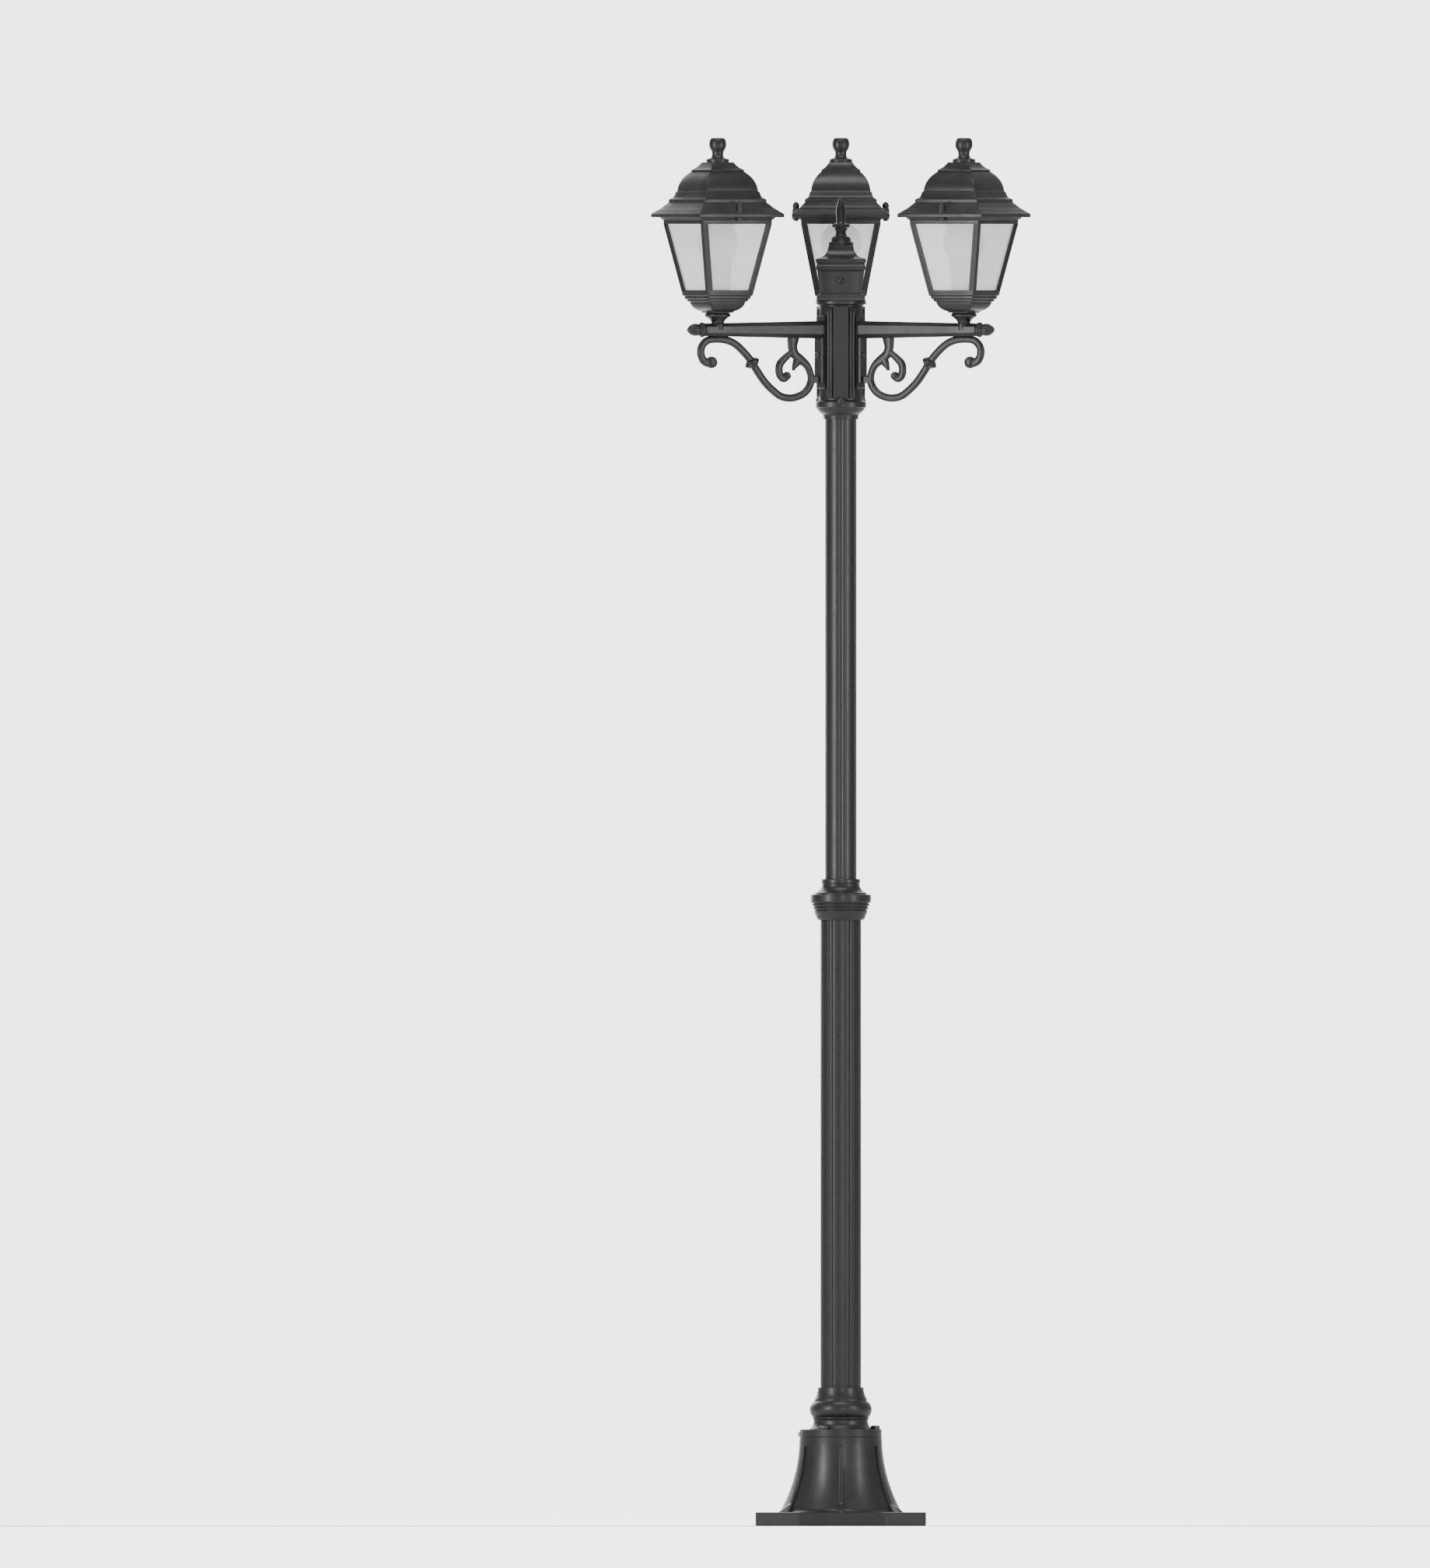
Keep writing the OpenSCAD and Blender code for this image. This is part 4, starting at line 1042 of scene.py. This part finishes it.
class LAMPPOST_OT_arms(bpy.types.Operator):
    """Three arms: an octagonal bar on a wall plate, with a long scroll, a curl and a bead below"""

    bl_idname = "lamppost.arms"
    bl_label = "Arms"

    def execute(self, context):
        if abs(Z_ARM - low_z("rear_arm") - SCROLL_DEPTH) > 4:
            raise RuntimeError("The arm's depth isn't the one its scroll is drawn for")
        root, tip, end = 25.5, 18.3, REACH + 23.7
        plate_foot = -77.0
        plate_plan = [[SEAT_R, -9.5], [38.5, -9.5], [38.5, 9.5], [SEAT_R, 9.5]]
        plate = loft(prism_rings(soften(plate_plan, 0.9, 3, closed=True), plate_foot,
                                 -root / 2 + 2, 0.7))
        lug_plan = [[34.6, -4.4], [50, -4.4], [50, 4.4], [34.6, 4.4]]
        lug = loft(prism_rings(soften(lug_plan, 1.2, 3, closed=True), plate_foot,
                               plate_foot + 10, 1.0))
        boss = turned([[0.1, 0.0], [10.3, 0.0], [10.3, 8.2], [9.3, 9.3], [9.3, BAR_RISE],
                       [0.1, BAR_RISE]], 0.4, 56)
        knop = turned(line([0.1, -5.4], [6.6, -5.4], [8.2, -4.6], [8.6, -3.4], [9.4, -2.9],
                           bow([9.8, -2.4], [9.8, 2.4], 1.6, 8), [9.4, 2.9], [8.6, 3.4],
                           [8.2, 4.6], [6.6, 5.4], [0.1, 5.4]), 0.35, 56)
        parts = [octagon_bar(SEAT_R, end, root, tip), plate, lug, moved(boss, x=REACH),
                 scroll(MAIN_SCROLL, 9.0), scroll(CURL, 8.0), scroll(LEAF, 8.0),
                 moved(leaned(knop, math.radians(35)), x=147.5, z=-47.8),
                 bulb(215, -47, 8.8), bulb(90, -66.5, 6.3)]
        socket = soften(line([0.1, -2.0], [9.6, -1.0], [9.6, 0.3], [10.8, 1.5], [10.8, 4],
                             [9.4, 5.6], [8.1, 7.4], [8.1, 8.6]), 0.4)
        bud = bow([8.6, 9.2], [0.6, 27.4], 3.4, 22)
        profile = np.vstack([socket, bud])
        lobes = np.abs(np.cos(circle(96) * sizes().bud_lobes / 2)) ** 0.6
        share = np.concatenate([np.zeros(len(socket)), np.sin(np.linspace(0.25, 2.9, len(bud)))])
        radius = profile[:, :1] * (1 - 0.13 * share[:, None] * (1 - lobes[None, :]))
        bud_part = moved(outward(loft(polar_rings(radius, profile[:, 1]))), x=end)
        for side in SIDES:
            casting(f"{side}_scroll_arm", [at_arm(part, side) for part in parts],
                    replaces=[f"{side}_arm"], crease=32.0)
            casting(f"{side}_bud", [at_arm(bud_part, side)], replaces=[f"{side}_arm_tip"],
                    coat="enamel_small")
        return {"FINISHED"}


# ---------------------------------------------------------------- lanterns

# Heights above the arm's seat and half widths, shared by a lantern's parts
CAGE_TOP = high_z("rear_cage") - Z_LAMP
SILL = 45.0
RAIL_H = 9.5
WINDOW_TOP = CAGE_TOP - RAIL_H
CAGE_HEAD = EAVE - 13.1
CAGE_FOOT = CAGE_HEAD - 19.1
NUT_OFF = EAVE - 6.1
ROOF_H = 79.5


def pair(part):
    """A part at a roof stud's distance along +Y, and its twin on the other side."""
    return copies(moved(part, y=NUT_OFF), 2)


def stem_part():
    """Turned stem: a waist over the arm's boss and a bead under the pan."""
    profile = line([9.3, 0], bow([9.3, 0.6], [13.3, 5.5], -0.5, 5), [16, 7.7], [17.6, 8.2],
                   bow([18.2, 8.9], [18.2, 12.5], 0.5, 5), [17.4, 13.2], [16.8, 14],
                   [5.1, 14], [5.1, 0], [9.3, 0])
    return turned(profile, 0.4, closed=True)


def pan_part():
    """Square pan under the windows: stepped and hollowed outside, with a sunk floor inside."""
    f = CAGE_FOOT
    outer = line([0.1, 14], [f - 21.7, 14], [f - 21.5, 15.5],
                 bow([f - 19.5, 16.6], [f - 9.4, 27], 1.6, 9), [f - 9, 28.4], [f - 9, 29.5],
                 [f - 6.6, 30.3], [f - 6, 31.2], [f - 6, 33.2], [f - 3.8, 34.2], [f - 3.2, 35.2],
                 [f - 3.2, 38], [f - 1.2, 39], [f - 0.7, 40], [f - 0.7, 42.6], [f, 43.2],
                 [f, SILL + 1.1], [f - 0.3, SILL + 1.5], [f - 4.2, SILL + 1.5],
                 [f - 4.6, SILL + 0.6], [f - 8, SILL - 0.5], [f - 8.4, 38.2], [f - 14, 30.2],
                 [0.1, 30])
    return loft(square_rings(soften(outer, 0.35), 1.2))


def rail_part():
    """Top rail of the cage: flat behind the glass, with a small cornice under the roof."""
    h = CAGE_HEAD
    profile = line([h - 2.5, 0], [h - 0.8, 0], [h - 0.2, 0.6], [h, 5], [h + 0.6, 6.3],
                   [h + 2.4, 7.1], [h + 2.7, 8], [h + 3.4, 8.4], [h + 3.4, RAIL_H],
                   [h - 2.5, RAIL_H], [h - 2.5, 0])
    rail = loft(square_rings(soften(profile, 0.35)[:-1], 1.0), closed=True)
    return moved(rail, z=WINDOW_TOP)


def ear_part():
    """Ear that carries a roof stud: a round end run back into the rail."""
    a = np.linspace(0, np.pi, 20)
    end = np.column_stack([5.6 * np.cos(a), NUT_OFF + 5.6 * np.sin(a)])
    plan = line([5.6, CAGE_HEAD], end, [-5.6, CAGE_HEAD])
    return loft(prism_rings(plan, CAGE_TOP - 3, CAGE_TOP, 0.5))


def roof_parts():
    """Pagoda roof, open underneath: three fine steps above the eave, a hollow skirt, a full dome
    and a flared top, with a pad for each nut."""
    top_half = 17.1

    def out(share):
        """Half width between the top's, at a share of 0, and the eave's, at 1."""
        return top_half + (EAVE - top_half) * share

    outer = line([out(1) - 0.6, 0], [out(1), 0.8], [out(1), 4.8], [out(0.985), 5.6],
                 [out(0.97), 5.9], [out(0.965), 6.8],
                 bow([out(0.955), 7.2], [out(0.905), 9.2], -0.4, 4), [out(0.89), 9.5],
                 [out(0.885), 10.3], bow([out(0.875), 10.7], [out(0.835), 12.0], -0.3, 4),
                 [out(0.825), 12.5], [out(0.812), 13.1],
                 bow([out(0.80), 13.6], [out(0.765), 15.4], -0.3, 4), [out(0.755), 16.1],
                 [out(0.742), 16.7], bow([out(0.72), 18.2], [out(0.515), 36.2], -1.8, 12),
                 [out(0.505), 37.1], [out(0.49), 37.5],
                 bow([out(0.483), 38.2], [out(0.205), 66.2], 3.4, 18), [out(0.2), 66.8],
                 [out(0.214), 67.3], [out(0.214), 68.2], [out(0.2), 68.8],
                 bow([out(0.172), 69.7], [out(0.01), 78.8], -0.8, 8), [out(0), ROOF_H],
                 [out(0) - 1, ROOF_H])
    inner = line([0.1, 70], [12.5, 70], bow([20, 66], [out(0.4), 40], -2.2, 8),
                 [out(0.5) - 3, 33], [CAGE_HEAD - 5.6, 26], [CAGE_HEAD - 5.6, 0.6],
                 [CAGE_HEAD - 5, 0])
    profile = soften(np.vstack([inner, outer]), 0.35)
    pad = turned([[0.1, 0.2], [6.1, 0.2], [6.1, 4.8], [5.5, 5.5], [0.1, 5.5]], 0.3, 48)
    parts = [loft(square_rings(profile, 1.1))] + pair(pad)
    return [moved(part, z=CAGE_TOP) for part in parts]


def roof_finial_part():
    """Roof finial: a flange, a waist, a bead and a domed knop."""
    profile = line([4, -1], [16.6, -0.6], [16.6, 3.9], [15.9, 4.7], [13.6, 4.9], [13.0, 5.6],
                   bow([10.4, 6.3], [8.2, 11], -0.6, 8), bow([8.2, 12.2], [9.5, 16.8], -0.3, 5),
                   [10.4, 17.5], [10.6, 18.4], [10.4, 18.9],
                   bow([11.3, 19.6], [11.5, 32.0], 1.2, 12), [11.0, 33.3], [9.6, 34.6],
                   [7.2, 35.2], [0.1, 35.4])
    return moved(turned(profile, 0.4), z=CAGE_TOP + ROOF_H)


def cap_nut_parts():
    """Two acorn nuts on the roof's pads."""
    profile = line([0.1, -0.2], [5.5, 0], [5.5, 4.2], [5.0, 4.8], [5.5, 5.4], [5.5, 6.4],
                   [4.5, 7.6], [4.4, 8.3], bow([4.8, 9], [1.0, 17], 1.6, 12), [0.1, 17.4])
    return pair(moved(turned(profile, 0.3, 40), z=CAGE_TOP + 5.5))


def stud_parts():
    """Stud heads under the ears."""
    stud = turned([[0.1, -2.4], [2.9, -2.4], [3.5, -1.9], [3.5, 0], [0.1, 0]], 0.2, 32)
    return pair(moved(stud, z=CAGE_TOP - 3))


def holder_part():
    """Ceramic lamp holder: a footed cup with two rings and a rolled rim."""
    profile = line([0.1, 0], [10.5, 0], [13, 2], [13, 6], [13.6, 7], [13, 8], [13, 12], [17, 15],
                   [17, 19.5], [16.5, 20.3], [17, 21.1], [17, 41.5], [16.2, 43.6], [14.6, 44],
                   [13.6, 43], [13.6, 14], [0.1, 14])
    return moved(turned(profile, 0.6), z=35.5)


def lamp_parts():
    """Lamp: a nickel cap with a rolled thread, and an opal globe whose neck flows into the ball."""
    foot, neck = 50.0, 77.0
    centre, radius = neck + 38, 30.0
    t = np.linspace(0, 1, 70)
    thread = np.column_stack([12.3 + 0.55 * np.cos(2 * np.pi * 6.5 * t), foot + 5 + 21 * t])
    cap = line([0.1, foot], [4, foot + 0.2], [5, foot + 2], [11.4, foot + 4], thread,
               [12.6, neck], [0.1, neck + 0.2])
    a = np.linspace(-1.02, np.pi / 2, 40)[:-1]
    ball = np.column_stack([radius * np.cos(a), centre + radius * np.sin(a)])
    globe = line([0.1, neck + 0.3], [13.2, neck], [13.6, neck + 3.5], ball,
                 [0.1, centre + radius])
    return loft(round_rings(cap, 64)), turned(globe, 0.5, 96)


def tube_parts():
    """Brass threaded tube through the arm and the pan, and its hexagon nut on the pan's floor."""
    t = np.linspace(0, 1, 140)
    low, high = -5.0, 41.5
    thread = np.column_stack([4.85 + 0.15 * np.cos(2 * np.pi * 34 * t), low + (high - low) * t])
    tube = line(thread, [3.6, high], [3.6, low])
    nut = moved(hex_bolt(15.6, 4.5), z=30)
    return [loft(round_rings(tube, 36), closed=True), nut]


class LAMPPOST_OT_lanterns(bpy.types.Operator):
    """Three lanterns: stem, glazed cage, roof with its finial and nuts, lamp and holder"""

    bl_idname = "lamppost.lanterns"
    bl_label = "Lanterns"

    def execute(self, context):
        cage = [pan_part(), rail_part()]
        cage += corner_posts(CAGE_FOOT, CAGE_HEAD, SILL + 0.6, WINDOW_TOP + 0.6, 9.2, 2.5, 0.9,
                             0.42, 0.45)
        cage += copies(ear_part(), 2)
        lamp_cap, globe = lamp_parts()
        for side in SIDES:
            group = f"{side}_roof_group"
            todo = [("turned_stem", [stem_part()], POST, "stem", "enamel_small"),
                    ("glazed_cage", cage, POST, "cage", "enamel"),
                    ("stud_heads", stud_parts(), POST, "roof_studs", "bolt"),
                    ("brass_tube", tube_parts(), POST, "tube_and_nut", "brass"),
                    ("cup_holder", [holder_part()], POST, "lamp_holder", "glaze"),
                    ("pagoda_roof", roof_parts(), group, "roof", "enamel"),
                    ("knop_finial", [roof_finial_part()], group, "roof_finial", "enamel_small"),
                    ("acorn_nuts", cap_nut_parts(), group, "roof_nuts", "enamel_small")]
            for name, parts, body, node, coat in todo:
                casting(f"{side}_{name}", [at_lamp(part, side) for part in parts], body,
                        [f"{side}_{node}"], coat)
            casting(f"{side}_globe", [at_lamp(globe, side)], replaces=[f"{side}_lamp"],
                    coat="opal")
            casting(f"{side}_lamp_cap", [at_lamp(lamp_cap, side)], replaces=[f"{side}_lamp"],
                    coat="nickel")
        return {"FINISHED"}


# ---------------------------------------------------------------- kept solids and the stage


class LAMPPOST_OT_kept(bpy.types.Operator):
    """Gives the panes, the wires and the terminal block, whose solids are kept, their finishes"""

    bl_idname = "lamppost.kept"
    bl_label = "Panes, wires and terminals"

    def execute(self, context):
        coats = {"terminal_block": "glaze"}
        for side in SIDES:
            coats[f"{side}_panes"] = "pane"
            coats[f"{side}_lamp_lead"] = "sheath"
        for node, coat in coats.items():
            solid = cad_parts[node]
            solid.data.materials.clear()
            solid.data.materials.append(finish(coat))
        return {"FINISHED"}


def soft_light(name, place, aim_z, width, height, power):
    """An area light, aimed at a height on the column's axis, all in metres."""
    lamp = bpy.data.lights.new(name, "AREA")
    lamp.shape = "RECTANGLE"
    lamp.size, lamp.size_y = width, height
    lamp.energy = power
    holder = bpy.data.objects.new(name, lamp)
    holder.location = place
    aim = Vector((0, 0, aim_z)) - Vector(place)
    holder.rotation_euler = aim.to_track_quat("-Z", "Y").to_euler()
    holder.visible_camera = False
    bpy.context.scene.collection.objects.link(holder)


class LAMPPOST_OT_stage(bpy.types.Operator):
    """Pale floor that curves up into a backdrop, soft lights and a level, square-on camera"""

    bl_idname = "lamppost.stage"
    bl_label = "Stage"

    def execute(self, context):
        scene = context.scene
        half, front, back, radius, high, low = 9.0, -14.0, 5.0, 2.0, 7.0, -1.5
        a = np.linspace(0, np.pi / 2, 17)
        curve = np.column_stack([back - radius + radius * np.sin(a), radius - radius * np.cos(a)])
        # The wall's lower strip, under the floor's level, is a face of its own
        side = line([front, 0.0], curve, [back, high], [back, low], [back, -0.001])
        points = [(x, y, z) for x in (-half, half) for y, z in side]
        n = len(side)
        faces = [(i, n + i, n + i + 1, i + 1) for i in range(n - 1) if i != n - 3]
        mesh = bpy.data.meshes.new("pale_sweep")
        mesh.from_pydata(points, [], faces)
        mesh.update()
        mesh.shade_smooth()
        mesh.materials.append(finish("stage"))
        sweep = bpy.data.objects.new("pale_sweep", mesh)
        scene.collection.objects.link(sweep)
        world = bpy.data.worlds.new("soft_room")
        world.use_nodes = True
        sky = world.node_tree.nodes["Background"]
        sky.inputs["Color"].default_value = (1.0, 1.0, 1.0, 1.0)
        sky.inputs["Strength"].default_value = 0.42
        scene.world = world
        soft_light("left_bank", (-2.9, -2.5, 1.55), 1.3, 0.75, 2.4, 105)
        soft_light("right_bank", (2.75, -2.25, 1.5), 1.3, 0.45, 2.4, 56)
        soft_light("top_bank", (0.0, -1.2, 4.2), 1.3, 2.2, 1.2, 55)
        soft_light("low_front", (0.7, -4.4, 1.15), 0.9, 0.5, 1.5, 28)
        soft_light("rear_bank", (-1.4, 2.6, 1.9), 1.2, 0.5, 2.2, 40)
        view = bpy.data.cameras.new("level_view")
        view.type = "ORTHO"
        view.ortho_scale = 2.2593
        view.clip_end = 60
        holder = bpy.data.objects.new("level_view", view)
        holder.location = (-0.1813, -6.0, 1.0687)
        holder.rotation_euler = (math.pi / 2, 0, 0)
        scene.collection.objects.link(holder)
        scene.camera = holder
        return {"FINISHED"}


# ---------------------------------------------------------------- add-on

BUILDERS = (LAMPPOST_OT_stage, LAMPPOST_OT_base, LAMPPOST_OT_socket, LAMPPOST_OT_tubes,
            LAMPPOST_OT_collar, LAMPPOST_OT_head, LAMPPOST_OT_cap, LAMPPOST_OT_fasteners,
            LAMPPOST_OT_arms, LAMPPOST_OT_lanterns, LAMPPOST_OT_kept)


class LAMPPOST_PT_panel(bpy.types.Panel):
    """Sizes, finishes and the pieces of the lamp post, in the order they are made"""

    bl_idname = "LAMPPOST_PT_panel"
    bl_label = "Street lamp post"
    bl_space_type = "VIEW_3D"
    bl_region_type = "UI"
    bl_category = "Lamp post"

    def draw(self, context):
        for group in (context.scene.lamp_post_sizes, context.scene.lamp_post_finish):
            box = self.layout.box()
            for prop in group.bl_rna.properties:
                if prop.identifier not in {"rna_type", "name"}:
                    box.prop(group, prop.identifier)
        for builder in BUILDERS:
            self.layout.operator(builder.bl_idname)


CLASSES = (LampPostFinish, LampPostSizes) + BUILDERS + (LAMPPOST_PT_panel,)


def register():
    """Registers the classes and hangs the settings on the scene."""
    for cls in CLASSES:
        bpy.utils.register_class(cls)
    bpy.types.Scene.lamp_post_sizes = bpy.props.PointerProperty(type=LampPostSizes)
    bpy.types.Scene.lamp_post_finish = bpy.props.PointerProperty(type=LampPostFinish)


def unregister():
    """Takes the settings and the classes away again."""
    del bpy.types.Scene.lamp_post_finish
    del bpy.types.Scene.lamp_post_sizes
    for cls in reversed(CLASSES):
        bpy.utils.unregister_class(cls)


def main():
    """Builds everything in order."""
    register()
    for builder in BUILDERS:
        group, name = builder.bl_idname.split(".")
        result = getattr(getattr(bpy.ops, group), name)()
        if result != {"FINISHED"}:
            raise RuntimeError(f"{builder.bl_label} was not finished")


if __name__ == "__main__":
    main()
